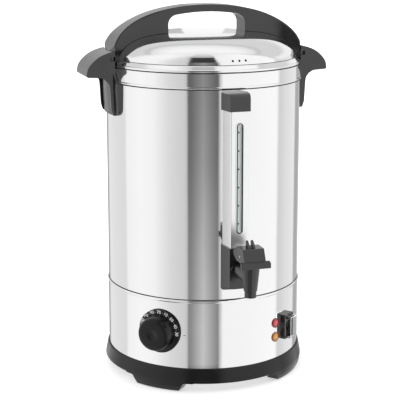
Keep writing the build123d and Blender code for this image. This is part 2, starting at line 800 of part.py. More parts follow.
# ---------------------------------------------------------------- tap
def make_tap_body():
    """Cast spout: neck, tapered barrel, valve chamber with a raised seat, and straight nozzle."""
    nozzle_top = spout_bottom + nozzle_height
    barrel = polygon(
        (0, spout_bottom), (nozzle_radius, spout_bottom), (nozzle_radius, nozzle_top),
        (nozzle_radius + 1.0, nozzle_top + 1.0), (tap_top_radius, tap_top - 6), (tap_top_radius, tap_top),
        (0, tap_top),
    )
    body = at_place(spun(barrel), tap_axis)
    body += at_front(disc(neck_radius, cap_face + lock_nut_width, tap_axis), outlet_height)
    seat = ring(spout_bore, spout_bore + 1.4, seat_height, seat_height + 1.2)
    bores = disc(spout_bore, spout_bottom - 1, seat_height + 2)
    bores += disc(chamber_radius, seat_height, tap_top + 1) - seat
    body -= at_place(bores, tap_axis)
    body -= at_front(disc(pipe_radius, cap_face - 1, tap_axis - chamber_radius - 1.6), outlet_height)
    body -= at_front(disc(pipe_bore, cap_face, tap_axis), outlet_height)
    return body


def make_tap_lock_nut():
    """Hexagonal lock nut on the pipe, between the tap's neck and the block."""
    return at_front(hex_nut(23, pipe_radius, cap_face, cap_face + lock_nut_width), outlet_height)


def make_tap_bonnet():
    """Screwed bonnet that closes the chamber and guides the stem."""
    flange = disc(tap_top_radius, tap_top, tap_top + bonnet_flange)
    boss = disc(bonnet_boss_radius, tap_top + bonnet_flange, bonnet_top)
    plug = ring(spring_mean_radius + 1.4, chamber_radius, tap_top - 5, tap_top)
    bonnet = chamfer(flange.edges().group_by(Axis.Z)[-1], 0.8) + boss + plug
    bonnet -= disc(stem_radius + running, tap_top - 6, bonnet_top + 1)
    return at_place(bonnet, tap_axis)


def make_tap_stem():
    """Valve stem: rod, spring collar, foot that holds the cup, and the head that carries the lever."""
    rod = disc(stem_radius, seat_height + 3.2, pin_height)
    collar = disc(6.0, seat_height + 7.2, seat_height + 8.4)
    foot = disc(4.2, seat_height + 3.2, seat_height + 4.4)
    head = Pos(0, 0, pin_height + 0.4) * Box(stem_head_width, 8.0, 8.8)
    head = fillet(head.edges().filter_by(Axis.X), 1.6)
    stem = rod + collar + foot + head
    stem -= Pos(0, 0, pin_height) * Rot(0, 90, 0) * Cylinder(pin_radius, 40)
    return at_place(stem, tap_axis)


def make_valve_cup():
    """Silicone seat cup on the end of the stem, resting on the seat."""
    low = seat_height + 1.2
    cup = disc(7.0, low, low + 2.6) + disc(5.6, low + 2.6, seat_height + 7.2)
    cup -= disc(stem_radius, seat_height + 3.2, seat_height + 9)
    cup -= disc(4.2, seat_height + 3.2, seat_height + 4.4)
    return at_place(cup, tap_axis)


def make_tap_spring():
    """Compression spring that closes the valve, as a stack of round-wire coils."""
    low = seat_height + 8.4 + spring_wire_radius
    high = tap_top - spring_wire_radius
    path = Helix((high - low) / spring_turns, high - low, spring_mean_radius)
    wire = Plane(origin=path @ 0, z_dir=path % 0) * Circle(spring_wire_radius)
    spring = Pos(0, 0, low) * sweep(wire, path)
    return at_place(spring, tap_axis)


def lever_horn():
    """One horn of the lever, drawn front to back as (forwards, height)."""
    base = hood_top - lever_wall
    return outline(
        Line((-5.2, base), (-5.6, horn_top - 0.7)),
        ThreePointArc((-5.6, horn_top - 0.7), (-5.1, horn_top), (-4.2, horn_top - 0.2)),
        Spline(
            (-4.2, horn_top - 0.2), (1.0, horn_top - 4.2), (5.0, base),
            tangents=[(0.75, -0.5), (0.15, -1)],
        ),
        Line((5.0, base), (-5.2, base)),
    )


def make_tap_lever():
    """Hood lever: side walls, top, sloped front, finger lip, tail, two horns and the lifting heel."""
    side = polygon(
        (-13.6, 191.2), (-24.0, 196.4), (-25.0, 201.6), (-11.5, hood_top), (9.0, hood_top),
        (16.4, 194.6), (17.2, 191.2),
    )
    side = fillet([v for v in side.vertices() if v.Y > 200], 2.0)
    hood = Pos(0, lever_half_width, 0) * extrude(Plane.XZ * side, 2 * lever_half_width)
    inner_side = polygon(
        (-30, 185), (-30, 196.6), (-24, 199.2), (-11.0, hood_top - lever_wall),
        (7.8, hood_top - lever_wall), (14.7, 193.6), (15.4, 185),
    )
    inner_half = lever_half_width - lever_wall
    hood -= Pos(0, inner_half, 0) * extrude(Plane.XZ * inner_side, 2 * inner_half)
    lip_section = polygon((15.0, 196.2), (21.2, 194.0), (21.8, 187.8), (19.2, 186.8), (16.0, 190.2))
    lip_section = fillet(lip_section.vertices(), 0.9)
    lip = Pos(0, lip_half_width, 0) * extrude(Plane.XZ * lip_section, 2 * lip_half_width)
    lip_ends = [e for e in lip.edges() if abs(abs(e.center().Y) - lip_half_width) < 0.01]
    lip = fillet(lip_ends, 0.8)
    heel_top = hood_top - lever_wall / 2
    heel = Pos(8.6, 0, 192.4) * Box(
        1.8, 2 * inner_half, heel_top - 192.4, align=(Align.CENTER, Align.CENTER, Align.MIN)
    )
    heel = heel & (Pos(0, 20, 0) * extrude(Plane.XZ * side, 40))
    lever = hood + lip + heel
    for place in (4.5, -2.1):
        lever += Pos(0, place, 0) * extrude(Plane.XZ * lever_horn(), horn_width)
    boss = Pos(-0.6, 0, hood_top - 0.8) * Rot(90, 0, 0) * Cylinder(3.0, 6.0)
    lever += boss & Pos(0, 0, hood_top - 1) * Box(20, 20, 20, align=(Align.CENTER, Align.CENTER, Align.MIN))
    lever -= Pos(0, 0, pin_height) * Rot(90, 0, 0) * Cylinder(pin_radius + running, 60)
    return at_place(Rot(0, 0, -90) * lever, tap_axis)


def make_lever_pin():
    """Steel pin through the lever's sides and the stem's head."""
    pin = Rot(0, 90, 0) * Cylinder(pin_radius, 2 * lever_half_width + 1.2)
    pin = chamfer(pin.edges().filter_by(GeomType.CIRCLE), 0.3)
    return at_place(Pos(0, 0, pin_height) * pin, tap_axis)


# ---------------------------------------------------------------- thermostat and dial
def make_dial_knob():
    """Moulded dial: numbered skirt, tapered grip with a dished face, hollow back and D-bored hub."""
    grip_base = dial_skirt_front
    profile = outline(
        Line((0, dial_skirt_back), (dial_skirt_radius, dial_skirt_back)),
        Line((dial_skirt_radius, dial_skirt_back), (dial_skirt_radius, dial_skirt_front - 0.7)),
        Line((dial_skirt_radius, dial_skirt_front - 0.7), (dial_skirt_radius - 0.7, dial_skirt_front)),
        Line((dial_skirt_radius - 0.7, dial_skirt_front), (dial_grip_radius + 0.5, grip_base)),
        ThreePointArc(
            (dial_grip_radius + 0.5, grip_base), (dial_grip_radius - 0.9, (grip_base + dial_face) / 2 - 1),
            (dial_grip_radius - 1.3, dial_face - 2.2),
        ),
        ThreePointArc(
            (dial_grip_radius - 1.3, dial_face - 2.2), (dial_grip_radius - 1.9, dial_face - 0.6),
            (dial_grip_radius - 3.4, dial_face),
        ),
        Spline(
            (dial_grip_radius - 3.4, dial_face), (0, dial_face - 1.2),
            tangents=[(-1, -0.16), (-1, 0)],
        ),
        Line((0, dial_face - 1.2), (0, dial_skirt_back)),
    )
    solid = spun(profile)
    hollow = ring(6.0, dial_grip_radius - 2.8, dial_skirt_back - 1, dial_face - 4.5)
    solid -= hollow
    bore = disc(shaft_radius, dial_skirt_back - 1, dial_face - 6) - Pos(0, 3.2, 0) * (
        prism(Rectangle(8, 2.4), dial_skirt_back, dial_face)
    )
    solid -= bore
    return at_front(solid, dial_height, dial_angle)


def make_thermostat_shaft():
    """D-ended spindle that the dial turns."""
    shaft = disc(shaft_radius, thermostat_front - 8, dial_face - 6.2)
    shaft -= Pos(0, 3.2, 0) * prism(Rectangle(8, 2.4), dial_skirt_back, dial_face)
    return at_front(shaft, dial_height, dial_angle)


def make_thermostat():
    """Capillary thermostat behind the housing: mounting plate, case, bush and two tab terminals."""
    plate = prism(Rectangle(38, 26), thermostat_front - 1.6, thermostat_front)
    bush = disc(4.6, thermostat_front, body_radius + 1.2)
    case = prism(Rectangle(30, 34), thermostat_front - 26, thermostat_front - 1.6)
    case = fillet(case.edges().filter_by(Axis.Z), 2.0)
    tabs = prism(Rectangle(6.3, 0.8), thermostat_front - 34, thermostat_front - 26)
    body = plate + bush + case
    for side in (-9, 9):
        body += Pos(side, 8, 0) * tabs
        body -= Pos(side / 9 * 14, 0, 0) * disc(1.6, thermostat_front - 5, thermostat_front + 1)
    body -= disc(shaft_radius + running, thermostat_front - 9, body_radius + 4)
    return at_front(body, dial_height, dial_angle)


def make_thermostat_screws():
    """Two low-headed screws under the dial's skirt."""
    front = housing_radius * math.cos(math.asin(14 / housing_radius))
    screw = Rot(180, 0, 0) * pan_screw(6.0, shank=1.6, head=3.0)
    pair = [Pos(side, 0, front + 0.35) * screw for side in (-14, 14)]
    return at_front(Compound(children=pair), dial_height, dial_angle)


def make_thermostat_bulb():
    """Sensing bulb under the heat plate, with its capillary looped down to the thermostat."""
    bulb_z = floor_height - heat_plate_thickness - 3.0
    bulb = Pos(-15, 30, bulb_z) * Rot(0, 90, 0) * Cylinder(3.0, 60)
    turn = math.radians(dial_angle)
    out = thermostat_front - 14
    case_x = out * math.sin(turn)
    case_y = -out * math.cos(turn)
    path = FilletPolyline(
        (-44, 30, bulb_z),
        (-54, 30, bulb_z),
        (-62, 26, bulb_z - 13),
        (-88, 0, bulb_z - 15),
        (case_x, case_y, bulb_z - 14),
        (case_x, case_y, dial_height + 17),
        radius=4.0,
    )
    section = Plane(origin=path @ 0, z_dir=path % 0) * Circle(0.8)
    return bulb + sweep(section, path)


# ---------------------------------------------------------------- lamps and switch
def make_lamp_lens(height):
    """Domed lens with a shallow rim, clipped into the housing."""
    profile = outline(
        Line((0, 128.0), (lamp_hole_radius - 0.2, 128.0)),
        Line((lamp_hole_radius - 0.2, 128.0), (lamp_hole_radius - 0.2, housing_radius)),
        Line((lamp_hole_radius - 0.2, housing_radius), (lamp_lens_radius, housing_radius)),
        Line((lamp_lens_radius, housing_radius), (lamp_lens_radius, housing_radius + 0.8)),
        Spline(
            (lamp_lens_radius, housing_radius + 0.8), (lamp_lens_radius - 1.6, housing_radius + 1.7),
            (0, housing_radius + 2.3),
            tangents=[(-0.2, 1), (-1, 0)],
        ),
        Line((0, housing_radius + 2.3), (0, 128.0)),
    )
    return at_front(spun(profile), height, lamp_angle)


def make_lamp_holders():
    """Two neon lamp holders behind the lenses, each with two leads' tabs."""
    holders = []
    for height in lamp_heights.values():
        holder = disc(4.6, 110.0, 128.0) + disc(6.4, 125.0, 127.6)
        for side in (-2.2, 2.2):
            holder += Pos(side, 0, 0) * prism(Rectangle(0.8, 2.8), 104.0, 110.0)
        holders.append(at_front(holder, height, lamp_angle))
    return Compound(children=holders)


def switch_place(shape):
    """Stand a piece of the switch in the middle of its cut-out."""
    return at_front(shape, (switch_bottom + switch_top) / 2, switch_angle)


def make_switch_frame():
    """Raised splash frame that clamps the clear boot over the rocker."""
    back = housing_radius - 1.6
    outer = RectangleRounded(switch_width, switch_top - switch_bottom, 1.6)
    frame = prism(outer, back, switch_face)
    frame = fillet(frame.edges().group_by(Axis.Z)[-1], 0.8)
    window = RectangleRounded(
        switch_width - 2 * switch_rim, switch_top - switch_bottom - 2 * switch_rim, 1.2
    )
    frame -= prism(window, back - 1, switch_face + 1)
    return switch_place(frame) - disc(housing_radius, switch_bottom - 10, switch_top + 10)


def make_switch_body():
    """Snap-in rocker switch case behind the housing with its four tab terminals."""
    case = prism(RectangleRounded(switch_cut_width - 0.8, switch_cut_height - 0.9, 1.2), 108.0, 133.4)
    well = prism(Rectangle(switch_cut_width - 4.4, switch_cut_height - 4.0), 118.0, 134.0)
    body = case - well
    for across in (-4.5, 4.5):
        for along in (-8, 8):
            body += Pos(across, along, 0) * prism(Rectangle(0.8, 4.8), 99.0, 108.0)
        ear = Rot(0, 90, 0) * Cylinder(1.5, 2.2)
        side = across / 4.5 * (switch_cut_width / 2 - 2.9)
        body += Pos(side, 0, rocker_pivot) * ear
    return switch_place(body)


def make_switch_rocker():
    """Rocker key with two inclined faces, hung on the case's two trunnions."""
    half = (switch_cut_width - 4.4) / 2 - 0.5
    key = outline(
        Line((-10.3, rocker_pivot + 7.0), (0, rocker_pivot + 5.2)),
        Line((0, rocker_pivot + 5.2), (10.3, rocker_pivot + 7.0)),
        Line((10.3, rocker_pivot + 7.0), (10.3, rocker_pivot)),
        Line((10.3, rocker_pivot), (8.0, rocker_pivot - 4.6)),
        Line((8.0, rocker_pivot - 4.6), (-8.0, rocker_pivot - 4.6)),
        Line((-8.0, rocker_pivot - 4.6), (-10.3, rocker_pivot)),
        Line((-10.3, rocker_pivot), (-10.3, rocker_pivot + 7.0)),
    )
    # drawn as (up the panel, outwards) in the middle position, then tilted to off
    rocker = Pos(-half, 0, 0) * extrude(Plane.YZ * key, 2 * half)
    rocker = fillet(rocker.edges().filter_by(Axis.X).group_by(Axis.Z)[-1], 0.6)
    rocker -= Pos(0, 0, rocker_pivot) * Rot(0, 90, 0) * Cylinder(1.5 + running, 60)
    rocker = Pos(0, 0, rocker_pivot) * Rot(rocker_tilt, 0, 0) * Pos(0, 0, -rocker_pivot) * rocker
    return switch_place(rocker)


def make_switch_boot():
    """Clear flexible boot held by the frame and standing proud of the rocker."""
    back = 133.6
    width = switch_width - 2 * switch_rim
    height = switch_top - switch_bottom - 2 * switch_rim
    blank = prism(RectangleRounded(width, height, 1.2), back, boot_face)
    blank = fillet(blank.edges().group_by(Axis.Z)[-1], 2.0)
    inner = RectangleRounded(width - 2.0, height - 2.0, 1.0)
    boot = blank - prism(inner, back - 1, boot_face - 1.0)
    return switch_place(boot)


# ---------------------------------------------------------------- heating under the tank
def make_heat_plate():
    """Aluminium plate brazed under the tank floor."""
    plate = disc(heat_plate_radius, floor_height - heat_plate_thickness, floor_height)
    return chamfer(plate.edges().group_by(Axis.Z)[0], 0.8)


def make_heating_element():
    """Tubular element: an open ring with its two ends turned down."""
    height = floor_height - heat_plate_thickness - element_tube_radius
    sweep_angle = 360 - 2 * element_gap_angle
    arc = CenterArc((0, 0), element_radius, -90 + element_gap_angle, sweep_angle)
    path = Pos(0, 0, height) * arc
    section = Plane(origin=path @ 0, z_dir=path % 0) * Circle(element_tube_radius)
    element = sweep(section, path)
    for place in (0, 1):
        end = path @ place
        leg = disc(element_tube_radius, height - 22, height)
        cap = Sphere(element_tube_radius)
        pin = disc(1.5, height - 32, height - 22)
        element += Pos(end.X, end.Y, 0) * (leg + pin) + Pos(end.X, end.Y, height) * cap
    return element


def make_cutout():
    """Dry-boil cut-out: a disc thermostat on its clip under the heat plate."""
    top = floor_height - heat_plate_thickness
    base = prism(Rectangle(24, 18), top - 5.0, top)
    cup = disc(8.0, top - 12.0, top - 5.0)
    cutout = base + cup
    for side in (-6, 6):
        cutout += Pos(side, 0, 0) * prism(Rectangle(0.8, 4.8), top - 19.0, top - 5.0)
    return Pos(34, -8, 0) * cutout


def make_terminal_block():
    """Three-way terminal block on the bottom plate, near the cord gland."""
    bottom = ledge_height + sheet
    block = prism(Rectangle(34, 16), bottom, bottom + 14)
    for place in (-10.5, 0, 10.5):
        block -= Pos(place, 0, 0) * disc(2.4, bottom + 6, bottom + 16)
        block -= Pos(place, 0, bottom + 5) * Rot(90, 0, 0) * Cylinder(1.8, 40)
    return Pos(0, 78, 0) * block


def make_cord_gland():
    """Moulded gland in the back of the housing, bored for the mains cord."""
    inside = body_radius - 14
    gland = disc(6.9, inside, body_radius + 2) + disc(10.5, housing_radius, housing_radius + 3.2)
    gland += disc(9.5, housing_radius - sheet - 5.0, housing_radius - sheet - 0.6)
    nose = Pos(0, 0, housing_radius + 3.2) * Cone(8.6, 6.8, 9.0, align=(Align.CENTER, Align.CENTER, Align.MIN))
    gland += nose
    gland -= disc(gland_bore, inside - 1, housing_radius + 20)
    gland = at_front(gland, gland_height, gland_angle)
    wall = disc(housing_radius, gland_height - 20, gland_height + 20)
    wall -= disc(housing_radius - sheet, gland_height - 21, gland_height + 21)
    hole = at_front(disc(7.0, body_radius - 10, body_radius + 10), gland_height, gland_angle)
    return gland - (wall - hole)


# ---------------------------------------------------------------- build
def main():
    """Make every piece and write its file."""
    right_handle = make_side_handle()
    vent_nut, vent_washer = make_vent_nut()
    pieces = {
        "base_ring": make_base_ring(),
        "foot_pads": make_foot_pads(),
        "bottom_plate": make_bottom_plate(),
        "bottom_screws": make_bottom_screws(),
        "lower_housing": make_lower_housing(),
        "tank": make_tank(),
        "lid": make_lid(),
        "lid_handle": make_lid_handle(),
        "lid_handle_screws": make_lid_handle_screws(),
        "lid_handle_washers": make_lid_handle_washers(),
        "side_handle_right": right_handle,
        "side_handle_left": mirror(right_handle, Plane.YZ),
        "side_handle_screws": make_side_handle_screws(),
        "side_handle_seals": make_side_handle_seals(),
        "gauge_channel": make_gauge_channel(),
        "gauge_cap": make_gauge_cap(),
        "gauge_block": make_gauge_block(),
        "sight_tube": make_sight_tube(),
        "tube_seals": make_tube_seals(),
        "outlet_pipe": make_outlet_pipe(),
        "outlet_nut": make_outlet_nut(),
        "outlet_gasket": make_outlet_gasket(),
        "vent_fitting": make_vent_fitting(),
        "vent_nut": vent_nut,
        "vent_washer": vent_washer,
        "tap_body": make_tap_body(),
        "tap_lock_nut": make_tap_lock_nut(),
        "tap_bonnet": make_tap_bonnet(),
        "tap_stem": make_tap_stem(),
        "valve_cup": make_valve_cup(),
        "tap_spring": make_tap_spring(),
        "tap_lever": make_tap_lever(),
        "lever_pin": make_lever_pin(),
        "dial_knob": make_dial_knob(),
        "thermostat_shaft": make_thermostat_shaft(),
        "thermostat": make_thermostat(),
        "thermostat_screws": make_thermostat_screws(),
        "thermostat_bulb": make_thermostat_bulb(),
        "lamp_red": make_lamp_lens(lamp_heights["lamp_red"]),
        "lamp_amber": make_lamp_lens(lamp_heights["lamp_amber"]),
        "lamp_holders": make_lamp_holders(),
        "switch_frame": make_switch_frame(),
        "switch_body": make_switch_body(),
        "switch_rocker": make_switch_rocker(),
        "switch_boot": make_switch_boot(),
        "heat_plate": make_heat_plate(),
        "heating_element": make_heating_element(),
        "dry_boil_cutout": make_cutout(),
        "terminal_block": make_terminal_block(),
        "cord_gland": make_cord_gland(),
    }
    for name, shape in pieces.items():
        save(name, shape)


main()
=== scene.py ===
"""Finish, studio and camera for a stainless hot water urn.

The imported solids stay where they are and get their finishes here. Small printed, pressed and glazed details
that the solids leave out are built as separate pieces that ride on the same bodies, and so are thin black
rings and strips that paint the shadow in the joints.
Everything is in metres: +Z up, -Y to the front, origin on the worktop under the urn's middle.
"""

import json
import logging
import math
from dataclasses import dataclass, field
from enum import Enum

import bmesh
import bpy
from mathutils import Matrix, Vector
from mathutils.bvhtree import BVHTree

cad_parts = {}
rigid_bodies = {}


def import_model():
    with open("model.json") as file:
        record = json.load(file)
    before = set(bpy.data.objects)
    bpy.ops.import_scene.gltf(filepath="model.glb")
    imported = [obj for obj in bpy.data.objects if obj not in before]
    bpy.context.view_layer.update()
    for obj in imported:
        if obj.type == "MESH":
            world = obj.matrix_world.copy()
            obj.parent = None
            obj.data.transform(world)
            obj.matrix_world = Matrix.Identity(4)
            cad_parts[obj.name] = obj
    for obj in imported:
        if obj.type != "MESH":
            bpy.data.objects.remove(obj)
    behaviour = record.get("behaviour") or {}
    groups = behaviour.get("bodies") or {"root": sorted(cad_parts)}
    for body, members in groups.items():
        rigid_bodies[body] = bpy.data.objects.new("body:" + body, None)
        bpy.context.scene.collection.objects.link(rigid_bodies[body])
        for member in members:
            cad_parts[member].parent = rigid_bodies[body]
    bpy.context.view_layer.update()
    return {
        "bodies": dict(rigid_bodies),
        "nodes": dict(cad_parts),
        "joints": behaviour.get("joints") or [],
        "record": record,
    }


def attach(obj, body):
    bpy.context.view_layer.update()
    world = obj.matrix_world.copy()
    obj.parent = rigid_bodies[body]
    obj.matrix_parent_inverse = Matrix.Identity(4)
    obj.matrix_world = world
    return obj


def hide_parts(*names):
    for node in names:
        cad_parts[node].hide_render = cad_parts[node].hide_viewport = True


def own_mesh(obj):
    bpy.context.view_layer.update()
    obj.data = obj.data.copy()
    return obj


LOG = logging.getLogger("urn")
MM = 1000.0  # millimetres in a metre
GLASS_IOR = 1.47
GRAIN_HEIGHT = 0.0003
FIGURE_BODY = 1.4  # size of the font for figures of height 1
FIGURE_WEIGHT = 0.04
INK_LIFT = 0.00006
Colour = tuple[float, float, float]
Point = tuple[float, float, float]
Corner = tuple[float, float]


class Grain(Enum):
    """Moulded surface textures, as (size of the grain in metres, depth of its bump)."""

    FINE = (0.0006, 0.10)
    SPARK = (0.0011, 0.22)
    SMOOTH = (0.0020, 0.03)


# ------------------------------------------------------------------ shader helpers
def rgba(colour: Colour, alpha: float = 1.0) -> tuple[float, float, float, float]:
    """Return a colour with its alpha.

    Args:
        colour: linear red, green and blue.
        alpha: opacity.

    Returns:
        The four numbers that a colour socket takes.
    """
    return (*colour, alpha)


class NodeSheet:
    """A node tree with short ways to add and join nodes."""

    def __init__(self, tree: bpy.types.NodeTree) -> None:
        """Keep the tree and count its columns for a tidy layout."""
        self.tree = tree
        self.count = 0

    def add(self, kind: str, **settings: object) -> bpy.types.Node:
        """Add a node.

        Args:
            kind: the node's type name.
            **settings: properties to set on it.

        Returns:
            The new node.
        """
        node = self.tree.nodes.new(kind)
        node.location = (200 * (self.count % 8), -260 * (self.count // 8))
        self.count += 1
        for name, value in settings.items():
            setattr(node, name, value)
        return node

    def join(self, source: bpy.types.NodeSocket, target: bpy.types.NodeSocket) -> None:
        """Link an output to an input."""
        self.tree.links.new(source, target)

    def math(
        self, operation: str, first: object, second: object = 0.0, clamp: bool = False
    ) -> bpy.types.NodeSocket:
        """Add a Math node.

        Args:
            operation: Blender's name of the operation.
            first: a socket or a number.
            second: a socket or a number.
            clamp: keep the result between 0 and 1.

        Returns:
            The node's output.
        """
        node = self.add("ShaderNodeMath", operation=operation, use_clamp=clamp)
        for place, value in enumerate((first, second)):
            if isinstance(value, bpy.types.NodeSocket):
                self.join(value, node.inputs[place])
            else:
                node.inputs[place].default_value = value
        return node.outputs[0]

    def ramp(self, source: bpy.types.NodeSocket, stops: list[tuple[float, Colour]]) -> bpy.types.NodeSocket:
        """Add a colour ramp.

        Args:
            source: the value that drives it.
            stops: pairs of position and colour, in rising order.

        Returns:
            The ramp's colour output.
        """
        node = self.add("ShaderNodeValToRGB")
        elements = node.color_ramp.elements
        while len(elements) < len(stops):
            elements.new(0.5)
        for element, (position, colour) in zip(elements, stops):
            element.position = position
            element.color = rgba(colour)
        self.join(source, node.inputs["Fac"])
        return node.outputs["Color"]

    def mix(self, amount: object, first: object, second: object) -> bpy.types.NodeSocket:
        """Mix two colours.

        Args:
            amount: a socket or a number from 0 to 1.
            first: a socket or a colour, shown at 0.
            second: a socket or a colour, shown at 1.

        Returns:
            The mixed colour.
        """
        node = self.add("ShaderNodeMix", data_type="RGBA")
        for place, value in ((0, amount), (6, first), (7, second)):
            if isinstance(value, bpy.types.NodeSocket):
                self.join(value, node.inputs[place])
            elif place == 0:
                node.inputs[place].default_value = value
            else:
                node.inputs[place].default_value = rgba(value)
        return node.outputs[2]

    def noise(self, vector: bpy.types.NodeSocket, scale: float, detail: float = 3.0) -> bpy.types.NodeSocket:
        """Add a noise texture.

        Args:
            vector: where it is read.
            scale: cells per metre.
            detail: octaves.

        Returns:
            The noise value, about 0 to 1.
        """
        node = self.add("ShaderNodeTexNoise")
        node.inputs["Scale"].default_value = scale
        node.inputs["Detail"].default_value = detail
        self.join(vector, node.inputs["Vector"])
        return node.outputs["Fac"]

    def place(self) -> bpy.types.NodeSocket:
        """Return where a point stands on its object."""
        return self.add("ShaderNodeTexCoord").outputs["Object"]

    def output(self, source: bpy.types.NodeSocket, kind: str = "Material") -> None:
        """Show a shader as the surface of a material or a world."""
        self.join(source, self.add("ShaderNodeOutput" + kind).inputs["Surface"])


def emptied(owner: bpy.types.ID) -> bpy.types.NodeTree:
    """Return the emptied node tree of a material or a world.

    Args:
        owner: the material or world.

    Returns:
        Its tree.
    """
    owner.use_nodes = True
    owner.node_tree.nodes.clear()
    return owner.node_tree


def new_group(
    name: str, inputs: dict[str, float], outputs: dict[str, str]
) -> tuple[bpy.types.NodeTree, NodeSheet]:
    """Start a shader node group.

    Args:
        name: the group's name.
        inputs: float inputs with their usual values.
        outputs: names of the outputs with their socket types.

    Returns:
        The group and a sheet to draw it on.
    """
    group = bpy.data.node_groups.new(name, "ShaderNodeTree")
    for label, value in inputs.items():
        socket = group.interface.new_socket(label, in_out="INPUT", socket_type="NodeSocketFloat")
        socket.default_value = value
    for label, kind in outputs.items():
        group.interface.new_socket(label, in_out="OUTPUT", socket_type=kind)
    return group, NodeSheet(group)


class Effects:
    """The effects that several finishes share, each one node group."""

    def __init__(self) -> None:
        """Build the groups once."""
        self.grain = self.build_grain()
        self.wear = self.build_wear()
        self.film = self.build_film()

    @staticmethod
    def build_grain() -> bpy.types.NodeTree:
        """Build the fine pitted grain of moulded plastic.

        Returns:
            A group with a height and a roughness shift.
        """
        group, sheet = new_group(
            "moulded_grain", {"Size": 0.0008}, {"Height": "NodeSocketFloat", "Shift": "NodeSocketFloat"}
        )
        source = sheet.add("NodeGroupInput")
        target = sheet.add("NodeGroupOutput")
        place = sheet.place()
        scale = sheet.math("DIVIDE", 1.0, source.outputs["Size"])
        cells = sheet.add("ShaderNodeTexVoronoi", feature="F1")
        sheet.join(place, cells.inputs["Vector"])
        sheet.join(scale, cells.inputs["Scale"])
        soft = sheet.add("ShaderNodeTexNoise")
        sheet.join(place, soft.inputs["Vector"])
        sheet.join(sheet.math("MULTIPLY", scale, 0.45), soft.inputs["Scale"])
        height = sheet.math("ADD", cells.outputs["Distance"], soft.outputs["Fac"])
        sheet.join(height, target.inputs["Height"])
        broad = sheet.noise(place, 38.0, 2.0)
        sheet.join(sheet.math("MULTIPLY", sheet.math("SUBTRACT", broad, 0.5), 0.16), target.inputs["Shift"])
        return group

    @staticmethod
    def build_wear() -> bpy.types.NodeTree:
        """Build the rubbed-edge mask.

        Returns:
            A group with a mask that is 1 on sharp outer edges.
        """
        group, sheet = new_group(
            "rubbed_edges", {"Amount": 1.0, "Scale": 220.0}, {"Mask": "NodeSocketFloat"}
        )
        source = sheet.add("NodeGroupInput")
        target = sheet.add("NodeGroupOutput")
        geometry = sheet.add("ShaderNodeNewGeometry")
        place = sheet.place()
        edge = sheet.math("MULTIPLY", sheet.math("SUBTRACT", geometry.outputs["Pointiness"], 0.52), 9.0, True)
        speckle = sheet.add("ShaderNodeTexNoise")
        sheet.join(place, speckle.inputs["Vector"])
        sheet.join(source.outputs["Scale"], speckle.inputs["Scale"])
        broken = sheet.math("MULTIPLY", edge, sheet.math("ADD", speckle.outputs["Fac"], 0.25))
        sheet.join(sheet.math("MULTIPLY", broken, source.outputs["Amount"], True), target.inputs["Mask"])
        return group

    @staticmethod
    def build_film() -> bpy.types.NodeTree:
        """Build the faint wiped film on polished and glazed surfaces.

        Returns:
            A group with a roughness shift and a value for slight tint.
        """
        group, sheet = new_group(
            "wiped_film", {"Amount": 1.0}, {"Shift": "NodeSocketFloat", "Cloud": "NodeSocketFloat"}
        )
        source = sheet.add("NodeGroupInput")
        target = sheet.add("NodeGroupOutput")
        place = sheet.place()
        stretch = sheet.add("ShaderNodeMapping")
        stretch.inputs["Scale"].default_value = (1.0, 1.0, 0.35)
        sheet.join(place, stretch.inputs["Vector"])
        broad = sheet.noise(stretch.outputs["Vector"], 14.0, 4.0)
        fine = sheet.noise(place, 90.0, 2.0)
        both = sheet.math("ADD", sheet.math("MULTIPLY", broad, 0.7), sheet.math("MULTIPLY", fine, 0.3))
        sheet.join(both, target.inputs["Cloud"])
        shift = sheet.math("MULTIPLY", sheet.math("SUBTRACT", both, 0.45), source.outputs["Amount"])
        sheet.join(shift, target.inputs["Shift"])
        return group


# ------------------------------------------------------------------ finishes
def scaled(colour: Colour, factor: float) -> Colour:
    """Return a colour made darker or lighter by a factor."""
    return tuple(part * factor for part in colour)


class ShaderSheet(NodeSheet):
    """The sheet of one material, with its Principled BSDF and the shared effects."""

    def __init__(self, name: str, effects: Effects) -> None:
        """Start a material.

        Args:
            name: the material's name.
            effects: the shared node groups.
        """
        self.material = bpy.data.materials.new(name)
        super().__init__(emptied(self.material))
        self.effects = effects
        self.shader = self.add("ShaderNodeBsdfPrincipled")
        self.output(self.shader.outputs["BSDF"])

    def set(self, label: str, value: object) -> None:
        """Set a constant on the shader."""
        self.shader.inputs[label].default_value = value

    def effect(self, group: bpy.types.NodeTree, **values: float) -> bpy.types.Node:
        """Put a shared effect into the material.

        Args:
            group: the effect.
            **values: its inputs.

        Returns:
            The group node.
        """
        node = self.add("ShaderNodeGroup")
        node.node_tree = group
        for label, value in values.items():
            node.inputs[label].default_value = value
        return node

    def tint(self, source: bpy.types.NodeSocket, stops: list[tuple[float, Colour]]) -> None:
        """Colour the shader along a ramp."""
        self.join(self.ramp(source, stops), self.shader.inputs["Base Color"])

    def roughen(self, source: bpy.types.Node, roughness: float) -> None:
        """Shift the shader's roughness by what an effect puts out."""
        shifted = self.math("ADD", source.outputs["Shift"], roughness, True)
        self.join(shifted, self.shader.inputs["Roughness"])

    def bump(self, height: bpy.types.NodeSocket, depth: float, reach: float) -> None:
        """Feed a height through a Bump node into the shader.

        Args:
            height: the height.
            depth: strength of the bump.
            reach: the height of 1, in metres.
        """
        node = self.add("ShaderNodeBump")
        node.inputs["Strength"].default_value = depth
        node.inputs["Distance"].default_value = reach
        self.join(height, node.inputs["Height"])
        self.join(node.outputs["Normal"], self.shader.inputs["Normal"])


@dataclass(frozen=True)
class Finish:
    """What every finish has: a name and a way to be drawn."""

    name: str

    def make(self, effects: Effects) -> bpy.types.Material:
        """Make the material.

        Args:
            effects: the shared node groups.

        Returns:
            The material.
        """
        sheet = ShaderSheet(self.name, effects)
        self.draw(sheet)
        return sheet.material

    def draw(self, sheet: ShaderSheet) -> None:
        """Draw the finish, which each kind of finish does its own way."""
        raise NotImplementedError


